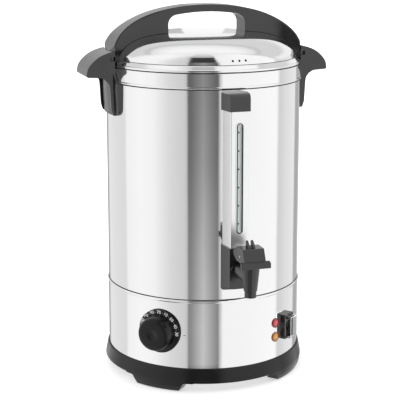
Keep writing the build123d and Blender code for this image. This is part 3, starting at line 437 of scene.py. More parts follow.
@dataclass(frozen=True)
class PolishedSteel(Finish):
    """Mirror-polished stainless sheet with a faint wiped film and very slight ripple."""

    colour: Colour = (0.90, 0.90, 0.905)
    clouding: float = 0.965
    film: float = 0.06
    roughness: float = 0.075
    ripple: float = 0.05
    ripple_scale: float = 9.0
    ripple_height: float = 0.004

    def draw(self, sheet: ShaderSheet) -> None:
        """Draw the mirror finish.

        Args:
            sheet: the material's sheet.
        """
        sheet.set("Metallic", 1.0)
        film = sheet.effect(sheet.effects.film, Amount=self.film)
        sheet.tint(film.outputs["Cloud"], [(0.25, self.colour), (0.8, scaled(self.colour, self.clouding))])
        sheet.roughen(film, self.roughness)
        wave = sheet.noise(sheet.place(), self.ripple_scale, 1.0)
        sheet.bump(wave, self.ripple, self.ripple_height)


@dataclass(frozen=True)
class TankSteel(PolishedSteel):
    """Polished outside and left satin inside, where the tank was drawn and welded."""

    inner_radius: float = 0.1297
    inner_roughness: float = 0.30
    inner_metal: float = 0.55

    def draw(self, sheet: ShaderSheet) -> None:
        """Draw the mirror finish and make it satin inside.

        Args:
            sheet: the material's sheet.
        """
        super().draw(sheet)
        flat = sheet.add("ShaderNodeVectorMath", operation="MULTIPLY")
        flat.inputs[1].default_value = (1.0, 1.0, 0.0)
        sheet.join(sheet.place(), flat.inputs[0])
        away = sheet.add("ShaderNodeVectorMath", operation="LENGTH")
        sheet.join(flat.outputs["Vector"], away.inputs[0])
        inside = sheet.math("LESS_THAN", away.outputs["Value"], self.inner_radius)
        roughness = sheet.shader.inputs["Roughness"]
        outer = roughness.links[0].from_socket
        rough = sheet.math("ADD", sheet.math("MULTIPLY", inside, self.inner_roughness), outer, True)
        sheet.join(rough, roughness)
        metal = sheet.math("SUBTRACT", 1.0, sheet.math("MULTIPLY", inside, 1.0 - self.inner_metal), True)
        sheet.join(metal, sheet.shader.inputs["Metallic"])


@dataclass(frozen=True)
class PlainSteel(Finish):
    """Turned or pressed steel: dull, with fine marks from the tool."""

    colour: Colour = (0.62, 0.62, 0.63)
    dulling: float = 0.78
    film: float = 0.25
    roughness: float = 0.34
    mark_scale: float = 900.0
    mark_depth: float = 0.12
    mark_height: float = 0.0004

    def draw(self, sheet: ShaderSheet) -> None:
        """Draw the worked steel.

        Args:
            sheet: the material's sheet.
        """
        sheet.set("Metallic", 1.0)
        film = sheet.effect(sheet.effects.film, Amount=self.film)
        sheet.tint(film.outputs["Cloud"], [(0.3, self.colour), (0.8, scaled(self.colour, self.dulling))])
        sheet.roughen(film, self.roughness)
        marks = sheet.noise(sheet.place(), self.mark_scale, 2.0)
        sheet.bump(marks, self.mark_depth, self.mark_height)


@dataclass(frozen=True)
class MouldedPlastic(Finish):
    """Satin moulded plastic with a fine grain and slightly rubbed edges."""

    colour: Colour = (0.0068, 0.0065, 0.0068)
    worn: Colour = (0.026, 0.025, 0.026)
    clouding: float = 1.22
    cloud_scale: float = 22.0
    wear: float = 0.5
    roughness: float = 0.20
    gloss: float = 0.80
    grain: Grain = Grain.FINE

    def draw(self, sheet: ShaderSheet) -> None:
        """Draw the plastic.

        Args:
            sheet: the material's sheet.
        """
        size, depth = self.grain.value
        grain = sheet.effect(sheet.effects.grain, Size=size)
        wear = sheet.effect(sheet.effects.wear, Amount=self.wear)
        cloud = sheet.noise(sheet.place(), self.cloud_scale)
        base = sheet.ramp(cloud, [(0.3, self.colour), (0.75, scaled(self.colour, self.clouding))])
        sheet.join(sheet.mix(wear.outputs["Mask"], base, self.worn), sheet.shader.inputs["Base Color"])
        sheet.roughen(grain, self.roughness)
        sheet.set("Specular IOR Level", self.gloss)
        sheet.bump(grain.outputs["Height"], depth, GRAIN_HEIGHT)


@dataclass(frozen=True)
class SoftRubber(Finish):
    """Matt rubber or silicone, a little dusty."""

    colour: Colour = (0.03, 0.03, 0.03)
    dust_scale: float = 60.0
    roughness: float = 0.75

    def draw(self, sheet: ShaderSheet) -> None:
        """Draw the rubber.

        Args:
            sheet: the material's sheet.
        """
        size, depth = Grain.SPARK.value
        grain = sheet.effect(sheet.effects.grain, Size=size)
        dusty = tuple(min(1.0, part * 1.3 + 0.01) for part in self.colour)
        sheet.tint(sheet.noise(sheet.place(), self.dust_scale), [(0.35, self.colour), (0.8, dusty)])
        sheet.roughen(grain, self.roughness)
        sheet.bump(grain.outputs["Height"], depth, GRAIN_HEIGHT)


@dataclass(frozen=True)
class ClearGlaze(Finish):
    """Clear glass or clear moulded silicone."""

    colour: Colour = (0.96, 0.98, 0.98)
    clouding: float = 0.94
    film: float = 0.06
    roughness: float = 0.03
    ior: float = GLASS_IOR

    def draw(self, sheet: ShaderSheet) -> None:
        """Draw the clear material.

        Args:
            sheet: the material's sheet.
        """
        sheet.set("Transmission Weight", 1.0)
        sheet.set("IOR", self.ior)
        sheet.set("Metallic", 0.0)
        film = sheet.effect(sheet.effects.film, Amount=self.film)
        sheet.tint(film.outputs["Cloud"], [(0.3, self.colour), (0.85, scaled(self.colour, self.clouding))])
        sheet.roughen(film, self.roughness)


@dataclass(frozen=True)
class MilkyTube(Finish):
    """Sight glass with a thin haze on its bore and a painted glow: it emits a faint light of its own, which
    brightens it in the dark channel.
    """

    colour: Colour = (0.97, 0.99, 0.98)
    haze: float = 0.86
    film: float = 0.08
    roughness: float = 0.16
    clearness: float = 0.15
    coat: float = 0.8
    coat_roughness: float = 0.04
    # Colour and strength of the painted glow; the tube is no lamp.
    glow: Colour = (0.84, 0.93, 0.88)
    daylight: float = 0.22

    def draw(self, sheet: ShaderSheet) -> None:
        """Draw the hazy glass.

        Args:
            sheet: the material's sheet.
        """
        sheet.set("Transmission Weight", self.clearness)
        sheet.set("IOR", GLASS_IOR)
        sheet.set("Coat Weight", self.coat)
        sheet.set("Coat Roughness", self.coat_roughness)
        # Painted glow: the tube emits a faint light of its own, though it is no lamp.
        sheet.set("Emission Color", rgba(self.glow))
        sheet.set("Emission Strength", self.daylight)
        film = sheet.effect(sheet.effects.film, Amount=self.film)
        sheet.tint(film.outputs["Cloud"], [(0.3, self.colour), (0.8, scaled(self.colour, self.haze))])
        sheet.roughen(film, self.roughness)


@dataclass(frozen=True)
class LampLens(Finish):
    """Coloured translucent lens, moulded in rings, with a painted glow over its lamp and painted shade
    towards its rim.
    """

    colour: Colour = (0.6, 0.02, 0.02)
    glow: Colour = (0.9, 0.1, 0.05)
    axis: Point = (0.0, 0.0, 0.0)
    edge_shade: float = 0.22
    falloff: float = 150.0
    film: float = 0.05
    roughness: float = 0.12
    ring_turns: float = 7000.0
    ring_depth: float = 0.15
    ring_height: float = 0.0002
    coat: float = 0.6

    def draw(self, sheet: ShaderSheet) -> None:
        """Draw the lens.

        Args:
            sheet: the material's sheet.
        """
        away = sheet.add("ShaderNodeVectorMath", operation="DISTANCE")
        away.inputs[1].default_value = self.axis
        sheet.join(sheet.place(), away.inputs[0])
        share = sheet.math("MULTIPLY", away.outputs["Value"], self.falloff, True)
        # Painted light in the base colour: a lighter glow in the middle over the lamp, and painted shade
        # darkening towards the rim.
        edge = scaled(self.colour, self.edge_shade)
        sheet.tint(share, [(0.15, self.glow), (0.62, self.colour), (0.97, edge)])
        sheet.roughen(sheet.effect(sheet.effects.film, Amount=self.film), self.roughness)
        rings = sheet.math("SINE", sheet.math("MULTIPLY", away.outputs["Value"], self.ring_turns))
        sheet.bump(rings, self.ring_depth, self.ring_height)
        sheet.set("Coat Weight", self.coat)


@dataclass(frozen=True)
class Ink(Finish):
    """Screen-printed or hot-stamped ink."""

    colour: Colour = (0.8, 0.8, 0.8)
    thinning: float = 0.82
    speckle_scale: float = 1400.0
    film: float = 0.1
    roughness: float = 0.5

    def draw(self, sheet: ShaderSheet) -> None:
        """Draw the ink.

        Args:
            sheet: the material's sheet.
        """
        speckle = sheet.noise(sheet.place(), self.speckle_scale)
        sheet.tint(speckle, [(0.35, scaled(self.colour, self.thinning)), (0.6, self.colour)])
        sheet.roughen(sheet.effect(sheet.effects.film, Amount=self.film), self.roughness)


# ------------------------------------------------------------------ mesh helpers
def add_object(name: str, data: bpy.types.ID) -> bpy.types.Object:
    """Put an object into the scene and report it.

    Args:
        name: its name.
        data: its mesh, camera or lamp.

    Returns:
        The object.
    """
    item = bpy.data.objects.new(name, data)
    bpy.context.scene.collection.objects.link(item)
    LOG.info("made %s", name)
    return item


def object_from(
    name: str, mesh: bmesh.types.BMesh, finish: bpy.types.Material, smooth: bool = True
) -> bpy.types.Object:
    """Turn a bmesh into a finished object in the scene.

    Args:
        name: the piece's name.
        mesh: its shape, which is freed.
        finish: its material.
        smooth: shade it smooth.

    Returns:
        The new object.
    """
    bmesh.ops.recalc_face_normals(mesh, faces=mesh.faces)
    data = bpy.data.meshes.new(name)
    mesh.to_mesh(data)
    mesh.free()
    data.materials.append(finish)
    for polygon in data.polygons:
        polygon.use_smooth = smooth
    return add_object(name, data)


def bridge(mesh: bmesh.types.BMesh, rings: list[list[bmesh.types.BMVert]]) -> None:
    """Join each ring of corners to the next one, all the way round.

    Args:
        mesh: where the faces go.
        rings: rings of equally many corners. A face that shrinks to a line is left out.
    """
    for one, other in zip(rings, rings[1:]):
        for step in range(len(one)):
            after = (step + 1) % len(one)
            used = list(dict.fromkeys((one[step], one[after], other[after], other[step])))
            if len(used) > 2:
                mesh.faces.new(used)


def turned(
    name: str, profile: list[Corner], finish: bpy.types.Material, place: Matrix | None = None,
    segments: int = 192,
) -> bpy.types.Object:
    """Turn a closed profile round Z.

    Args:
        name: the piece's name.
        profile: its corners as (radius, height) in millimetres, in order. A radius of 0 closes the middle.
        finish: its material.
        place: where it stands, or None for the urn's own axis.
        segments: steps round the axis.

    Returns:
        The piece.
    """
    mesh = bmesh.new()
    rings = []
    for radius, height in profile:
        if radius == 0:
            rings.append([mesh.verts.new((0.0, 0.0, height / MM))] * segments)
            continue
        turns = [2 * math.pi * step / segments for step in range(segments)]
        rings.append([
            mesh.verts.new((radius / MM * math.sin(turn), -radius / MM * math.cos(turn), height / MM))
            for turn in turns
        ])
    bridge(mesh, rings + rings[:1])
    if place is not None:
        mesh.transform(place)
    return object_from(name, mesh, finish)


def stadium(
    name: str, half_width: float, bottom: float, top: float, band: float, back: float, front: float,
    finish: bpy.types.Material, steps: int = 24,
) -> bpy.types.Object:
    """Make an upright slot-shaped frame that faces -Y.

    Args:
        name: the piece's name.
        half_width: half its outer width in millimetres, as are the other sizes.
        bottom: its lowest outer height.
        top: its highest outer height.
        band: how wide the frame is.
        back: distance of its back from the axis.
        front: distance of its front from the axis.
        finish: its material.
        steps: steps round each end.

    Returns:
        The piece.
    """
    mesh = bmesh.new()
    loops = []
    inner = half_width - band
    for radius, depth in ((half_width, back), (half_width, front), (inner, front), (inner, back)):
        loop = []
        for centre, first in ((top - half_width, 0.0), (bottom + half_width, math.pi)):
            for step in range(steps + 1):
                turn = first + math.pi * step / steps
                x, z = radius * math.cos(turn), centre + radius * math.sin(turn)
                loop.append(mesh.verts.new((x / MM, -depth / MM, z / MM)))
        loops.append(loop)
    bridge(mesh, loops + loops[:1])
    return object_from(name, mesh, finish, smooth=False)


def flat_mark(
    name: str, shapes: list[list[Corner]], thickness: float, finish: bpy.types.Material, place: Matrix,
) -> bpy.types.Object:
    """Print raised flat shapes on a panel.

    Args:
        name: the piece's name.
        shapes: the corners of each shape in millimetres, with x right and y up.
        thickness: how far they stand up, in millimetres.
        finish: the ink.
        place: the panel.

    Returns:
        The piece.
    """
    mesh = bmesh.new()
    for shape in shapes:
        low = [mesh.verts.new((x / MM, y / MM, 0.0)) for x, y in shape]
        high = [mesh.verts.new((x / MM, y / MM, thickness / MM)) for x, y in shape]
        mesh.faces.new(high)
        mesh.faces.new(low[::-1])
        bridge(mesh, [low, high])
    mesh.transform(place)
    return object_from(name, mesh, finish, smooth=False)


def round_place(angle: float, radius: float, height: float) -> Vector:
    """Return a point at an angle in degrees round the body from the front towards +X."""
    turn = math.radians(angle)
    return Vector((radius * math.sin(turn), -radius * math.cos(turn), height))


def panel_matrix(angle: float, radius: float, height: float) -> Matrix:
    """Return the place of a panel drawn with x right, y up and z outwards.

    Args:
        angle: degrees round the body from the front towards +X.
        radius: distance of the panel's origin from the axis.
        height: its height.

    Returns:
        The matrix from panel to urn.
    """
    turn = math.radians(angle)
    right = Vector((math.cos(turn), math.sin(turn), 0.0))
    out = Vector((math.sin(turn), -math.cos(turn), 0.0))
    up = Vector((0.0, 0.0, 1.0))
    matrix = Matrix((right, up, out)).transposed().to_4x4()
    matrix.translation = out * radius + up * height
    return matrix


def lettering(
    name: str, text: str, height: float, finish: bpy.types.Material, matrix: Matrix
) -> bpy.types.Object:
    """Make flat raised lettering.

    Args:
        name: the piece's name.
        text: the numbers to print.
        height: height of the figures in metres.
        finish: the ink.
        matrix: where they stand, drawn with x right and y up.

    Returns:
        The mesh object.
    """
    curve = bpy.data.curves.new(name + "_curve", "FONT")
    curve.body = text
    curve.size = height * FIGURE_BODY
    curve.align_x = "CENTER"
    curve.align_y = "CENTER"
    curve.extrude = INK_LIFT
    curve.offset = height * FIGURE_WEIGHT
    holder = bpy.data.objects.new(name + "_curve", curve)
    bpy.context.scene.collection.objects.link(holder)
    bpy.context.view_layer.update()
    data = bpy.data.meshes.new_from_object(holder)
    data.name = name
    bpy.data.objects.remove(holder)
    bpy.data.curves.remove(curve)
    data.transform(matrix)
    data.materials.clear()
    data.materials.append(finish)
    return add_object(name, data)


def dress(frame: dict, nodes: list[str], finish: bpy.types.Material) -> None:
    """Give CAD nodes their finish.

    Args:
        nodes: the nodes' names.
        finish: the material.
    """
    for node in nodes:
        data = frame["nodes"][node].data
        data.materials.clear()
        data.materials.append(finish)
        LOG.info("finished %s with %s", node, finish.name)


# ------------------------------------------------------------------ sub-assemblies
@dataclass
class Studio:
    """Floor, light, camera and the grey cards that a polished cylinder mirrors."""

    camera_distance: float = 1.6651
    camera_height: float = 0.6067
    camera_azimuth: float = 17.586
    camera_pitch: float = 11.363
    focal_pixels: float = 1245.4
    frame_pixels: float = 400.0
    centre_pixel: float = 203.04
    frame_shift: float = -0.08
    mirror_radius: float = 0.130
    card_top: float = 1.3
    sensor: float = 36.0
    tones: list[tuple[float, float]] = field(default_factory=lambda: [
        (-90.0, 0.55), (-85.0, 0.42), (-79.5, 0.38), (-77.0, 0.80), (-74.0, 0.86), (-53.0, 0.79),
        (-51.0, 0.98), (-40.0, 1.04), (-30.0, 1.0), (-20.0, 0.78), (-11.0, 0.68), (-9.4, 0.60), (-8.6, 0.13),
        (-7.0, 0.14), (0.0, 0.29), (6.0, 0.17), (8.7, 0.12), (9.5, 0.55), (11.5, 1.0), (48.0, 1.06),
        (50.5, 0.70), (58.0, 0.82), (69.0, 0.90), (70.8, 0.45), (77.0, 0.42), (80.0, 0.58), (90.0, 0.70),
    ])
    canopy_radius: float = 5.2
    canopy_middle: float = 0.42
    canopy_rows: tuple[float, ...] = (
        8.0, 16.0, 22.0, 26.0, 30.0, 34.0, 40.0, 46.0, 48.0, 50.0, 52.0, 54.0, 57.0, 60.0, 63.0, 66.0, 70.0,
        76.0, 82.0, 90.0,
    )
    near_gain: tuple[tuple[float, float], ...] = (
        (0.012, 0.6), (0.06, 0.6), (0.1, 2.1), (0.25, 2.1), (0.7, 1.75), (1.5, 1.25), (3.0, 1.0), (5.0, 0.95),
    )
    gain_sector: float = 8.8
    shade_sector: float = 8.4
    shade_rise: tuple[float, float] = (29.0, 67.0)
    shade_tone: float = 0.045
    shade_spread: float = 0.6
    above_shade: float = 0.40
    roof_start: float = 66.0
    roof_span: float = 24.0
    roof_tone: float = 0.86
    rear_start: float = 48.0
    rear_span: float = 8.0
    card_foot: float = 0.0012
    card_blue: float = 1.004
    room_colour: Colour = (0.97, 0.98, 1.0)
    room_strength: float = 0.55
    floor_colour: Colour = (0.86, 0.86, 0.865)
    floor_radius: float = 9.0
    floor_drop: float = 0.0004
    floor_glow: tuple[float, float] = (0.55, 0.45)
    floor_fade: tuple[float, float] = (0.2, 1.6)
    look_at: Point = (0.0, 0.0, 0.25)
    lamps: tuple[tuple[str, Point, float, float], ...] = (
        ("key_box", (-1.3, -1.5, 1.9), 1.4, 14.0),
        ("fill_box", (1.6, -0.9, 1.5), 1.2, 8.0),
        ("back_box", (0.2, 1.7, 1.8), 1.4, 8.0),
    )
    rear_rise: list[tuple[float, float]] = field(default_factory=lambda: [
        (0.0, 1.0), (22.0, 0.95), (28.0, 0.72), (47.0, 0.74), (49.5, 0.62), (51.5, 0.62), (54.0, 0.82),
        (60.0, 0.94), (68.0, 1.04), (78.0, 1.02), (90.0, 0.92),
    ])

    def build(self) -> None:
        """Make everything that isn't the urn."""
        self.add_camera()
        self.add_world()
        self.add_floor()
        self.add_cards()
        self.add_lamps()

    def add_camera(self) -> None:
        """Stand the camera a little to the left of the urn's front, above its lid."""
        data = bpy.data.cameras.new("viewpoint")
        data.sensor_width = self.sensor
        data.lens = self.focal_pixels / self.frame_pixels * self.sensor
        data.shift_y = self.frame_shift
        data.shift_x = -(self.centre_pixel - self.frame_pixels / 2) / self.frame_pixels
        data.clip_end = 60.0
        item = add_object("viewpoint", data)
        turn = math.radians(self.camera_azimuth)
        pitch = math.radians(self.camera_pitch)
        away = self.camera_distance
        item.location = (-away * math.sin(turn), -away * math.cos(turn), self.camera_height)
        look = Vector((math.sin(turn) * math.cos(pitch), math.cos(turn) * math.cos(pitch), -math.sin(pitch)))
        item.rotation_mode = "QUATERNION"
        item.rotation_quaternion = look.to_track_quat("-Z", "Y")
        bpy.context.scene.camera = item

    @staticmethod
    def background_rays(sheet: NodeSheet) -> bpy.types.NodeSocket:
        """Pick out the rays that see the background: camera, mirrored and through-glass ones.

        Args:
            sheet: the sheet of the material or world.

        Returns:
            1 for those rays and 0 for the others.
        """
        path = sheet.add("ShaderNodeLightPath")
        first = sheet.math("MAXIMUM", path.outputs["Is Camera Ray"], path.outputs["Is Glossy Ray"])
        return sheet.math("MAXIMUM", first, path.outputs["Is Transmission Ray"])

    def add_world(self) -> None:
        """Light the room softly and show a white background."""
        world = bpy.data.worlds.new("room")
        bpy.context.scene.world = world
        sheet = NodeSheet(emptied(world))
        both = sheet.add("ShaderNodeMixShader")
        sheet.join(self.background_rays(sheet), both.inputs[0])
        rooms = ((self.room_colour, self.room_strength), ((1.0, 1.0, 1.0), 1.0))
        for place, (colour, strength) in enumerate(rooms, 1):
            light = sheet.add("ShaderNodeBackground")
            light.inputs["Color"].default_value = rgba(colour)
            light.inputs["Strength"].default_value = strength
            sheet.join(light.outputs[0], both.inputs[place])
        sheet.output(both.outputs[0], "World")

    def add_floor(self) -> None:
        """Lay the pale floor, which glows a little less near the urn."""
        mesh = bmesh.new()
        bmesh.ops.create_circle(mesh, cap_ends=True, segments=96, radius=self.floor_radius)
        material = bpy.data.materials.new("pale_floor")
        sheet = NodeSheet(emptied(material))
        matt = sheet.add("ShaderNodeBsdfDiffuse")
        matt.inputs["Color"].default_value = rgba(self.floor_colour)
        lift = sheet.add("ShaderNodeEmission")
        away = sheet.add("ShaderNodeVectorMath", operation="LENGTH")
        sheet.join(sheet.add("ShaderNodeNewGeometry").outputs["Position"], away.inputs[0])
        start, slope = self.floor_fade
        far = sheet.math("MULTIPLY", sheet.math("SUBTRACT", away.outputs["Value"], start), slope, True)
        near_glow, far_gain = self.floor_glow
        glow = sheet.math("ADD", sheet.math("MULTIPLY", far, far_gain), near_glow)
        sheet.join(sheet.math("MULTIPLY", self.background_rays(sheet), glow), lift.inputs["Strength"])
        both = sheet.add("ShaderNodeAddShader")
        sheet.join(matt.outputs[0], both.inputs[0])
        sheet.join(lift.outputs[0], both.inputs[1])
        sheet.output(both.outputs[0])
        floor = object_from("floor", mesh, material)
        floor.location.z = -self.floor_drop

    def add_cards(self) -> None:
        """Stand grey cards round the urn and vault them over it, seen only in its gloss."""
        mesh = bmesh.new()
        mesh.verts.layers.float_color.new("tone")
        tones = self.fine_tones()
        self.add_toned_sheet(mesh, [self.wall_column(angle, tone) for angle, tone in tones])
        self.add_toned_sheet(mesh, [self.canopy_column(angle) for angle, _ in tones])
        material = bpy.data.materials.new("grey_card")
        sheet = NodeSheet(emptied(material))
        glow = sheet.add("ShaderNodeEmission")
        tone = sheet.add("ShaderNodeAttribute", attribute_name="tone")
        sheet.join(tone.outputs["Color"], glow.inputs["Color"])
        sheet.output(glow.outputs[0])
        cards = object_from("grey_cards", mesh, material, smooth=False)
        cards.visible_camera = False
        cards.visible_diffuse = False
        cards.visible_shadow = False
        cards.visible_transmission = False

    def add_toned_sheet(self, mesh: bmesh.types.BMesh, columns: list[list[tuple[Point, float]]]) -> None:
        """Add one sheet of cards.

        Args:
            mesh: where it goes.
            columns: the points of each column with their tones, from the bottom up.
        """
        layer = mesh.verts.layers.float_color["tone"]
        rows = []
        for column in columns:
            row = []
            for place, tone in column:
                vertex = mesh.verts.new(place)
                vertex[layer] = (tone, tone, tone * self.card_blue, 1.0)
                row.append(vertex)
            rows.append(row)
        for left, right in zip(rows, rows[1:]):
            for step in range(len(left) - 1):
                mesh.faces.new((left[step], right[step], right[step + 1], left[step + 1]))

    def wall_column(self, angle: float, tone: float) -> list[tuple[Point, float]]:
        """Follow one card edge out along the floor and up its wall.

        The edge follows the line that the round body mirrors from the viewpoint, so each stretch of
        the body keeps one tone from top to bottom.

        Args:
            angle: half the turn from the viewpoint's side, in degrees.
            tone: the card's tone there.

        Returns:
            The points with their tones.
        """
        alpha = math.radians(angle)
        turn = math.radians(self.camera_azimuth)
        start = Vector((math.sin(alpha - turn), -math.cos(alpha - turn), 0.0)) * self.mirror_radius
        way = Vector((math.sin(2 * alpha - turn), -math.cos(2 * alpha - turn), 0.0))
        points = []
        for reach, gain in self.near_gain:
            place = start + way * reach
            shade = tone * gain if abs(angle) < self.gain_sector else tone
            points.append(((place.x, place.y, self.card_foot), shade))
        (x, y, _), shade = points[-1]
        return [*points, ((x, y, self.card_top), shade)]

    def canopy_column(self, angle: float) -> list[tuple[Point, float]]:
        """Follow one line of the soft ceiling from its foot to its top.

        Args:
            angle: half the turn from the viewpoint's side, in degrees.

        Returns:
            The points with their tones.
        """
        turn = 2 * math.radians(angle) - math.radians(self.camera_azimuth)
        points = []
        for rise in self.canopy_rows:
            lift = math.radians(rise)
            reach = self.canopy_radius * math.cos(lift)
            height = self.canopy_middle + self.canopy_radius * math.sin(lift)
            place = (reach * math.sin(turn), -reach * math.cos(turn), height)
            points.append((place, self.canopy_tone(angle, rise)))
        return points

    @staticmethod
    def tone_at(stops: list[tuple[float, float]], place: float) -> float:
        """Read a list of stops between its points.

        Args:
            stops: pairs of place and tone, in rising order.
            place: where to read.

        Returns:
            The tone there.
        """
        for (low, low_tone), (high, high_tone) in zip(stops, stops[1:]):
            if place <= high:
                share = max(0.0, (place - low) / (high - low))
                return low_tone + (high_tone - low_tone) * share
        return stops[-1][1]

    def canopy_tone(self, angle: float, rise: float) -> float:
        """Return the tone of the soft ceiling.

        Args:
            angle: half the turn from the viewpoint's side, in degrees, as on the cards.
            rise: degrees above the horizon.

        Returns:
            The tone: grey steps behind the urn, the cards' tones in front, and one dark flag.
        """
        rear = self.tone_at(self.rear_rise, rise)
        front = self.tone_at(self.tones, angle)
        bottom, top = self.shade_rise
        widening = math.cos(math.radians(bottom)) / max(0.2, math.cos(math.radians(rise)))
        reach = self.shade_sector * widening ** self.shade_spread
        if abs(angle) < reach and rise > bottom:
            front = self.shade_tone if rise < top else self.above_shade
        roof = min(1.0, max(0.0, (rise - self.roof_start) / self.roof_span))
        front += (self.roof_tone - front) * roof
        behind = min(1.0, max(0.0, (abs(angle) - self.rear_start) / self.rear_span))
        return front + (rear - front) * behind

    def fine_tones(self) -> list[tuple[float, float]]:
        """Divide the tones into close steps round the body.

        Returns:
            Pairs of angle and tone.
        """
        steps = []
        for (low, low_tone), (high, high_tone) in zip(self.tones, self.tones[1:]):
            count = max(1, round((high - low) / 2.0))
            for step in range(count):
                share = step / count
                steps.append((low + (high - low) * share, low_tone + (high_tone - low_tone) * share))
        steps.append(self.tones[-1])
        return steps

    def add_lamps(self) -> None:
        """Hang soft boxes high on both sides and behind."""
        for name, place, size, power in self.lamps:
            data = bpy.data.lights.new(name, "AREA")
            data.shape = "SQUARE"
            data.size = size
            data.energy = power
            item = add_object(name, data)
            item.location = place
            item.rotation_mode = "QUATERNION"
            item.rotation_quaternion = (Vector(self.look_at) - Vector(place)).to_track_quat("-Z", "Y")
            item.visible_glossy = False


@dataclass
class Body:
    """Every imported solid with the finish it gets."""

    nodes: dict[str, list[str]] = field(default_factory=lambda: {
        "polished_steel": ["lower_housing", "lid"],
        "plain_steel": [
            "bottom_plate", "bottom_screws", "lid_handle_screws", "side_handle_screws", "outlet_pipe",
            "outlet_nut", "vent_fitting", "vent_nut", "tap_stem", "tap_spring", "lever_pin",
            "thermostat_shaft", "thermostat_screws", "dry_boil_cutout", "heat_plate", "heating_element",
        ],
        "charcoal_plastic": [
            "lid_handle", "side_handle_right", "side_handle_left", "gauge_cap", "gauge_block", "tap_body",
            "tap_bonnet", "tap_lever", "switch_frame", "switch_body", "cord_gland", "thermostat",
        ],
        "base_plastic": ["base_ring"],
        "tank_steel": ["tank"],
        "satin_steel": ["gauge_channel"],
        "blackened_steel": ["tap_lock_nut"],
        "dial_plastic": ["dial_knob"],
        "rocker_plastic": ["switch_rocker"],
        "foot_rubber": ["foot_pads"],
        "silicone": [
            "lid_handle_washers", "side_handle_seals", "tube_seals", "outlet_gasket", "vent_washer",
            "valve_cup",
        ],
        "tube_glass": ["sight_tube"],
        "boot_silicone": ["switch_boot"],
        "red_lens": ["lamp_red"],
        "amber_lens": ["lamp_amber"],
        "white_plastic": ["lamp_holders", "terminal_block"],
        "copper": ["thermostat_bulb"],
    })

    def build(self, frame: dict, finishes: dict[str, bpy.types.Material]) -> None:
        """Give each solid its finish."""
        for finish, nodes in self.nodes.items():
            dress(frame, nodes, finishes[finish])


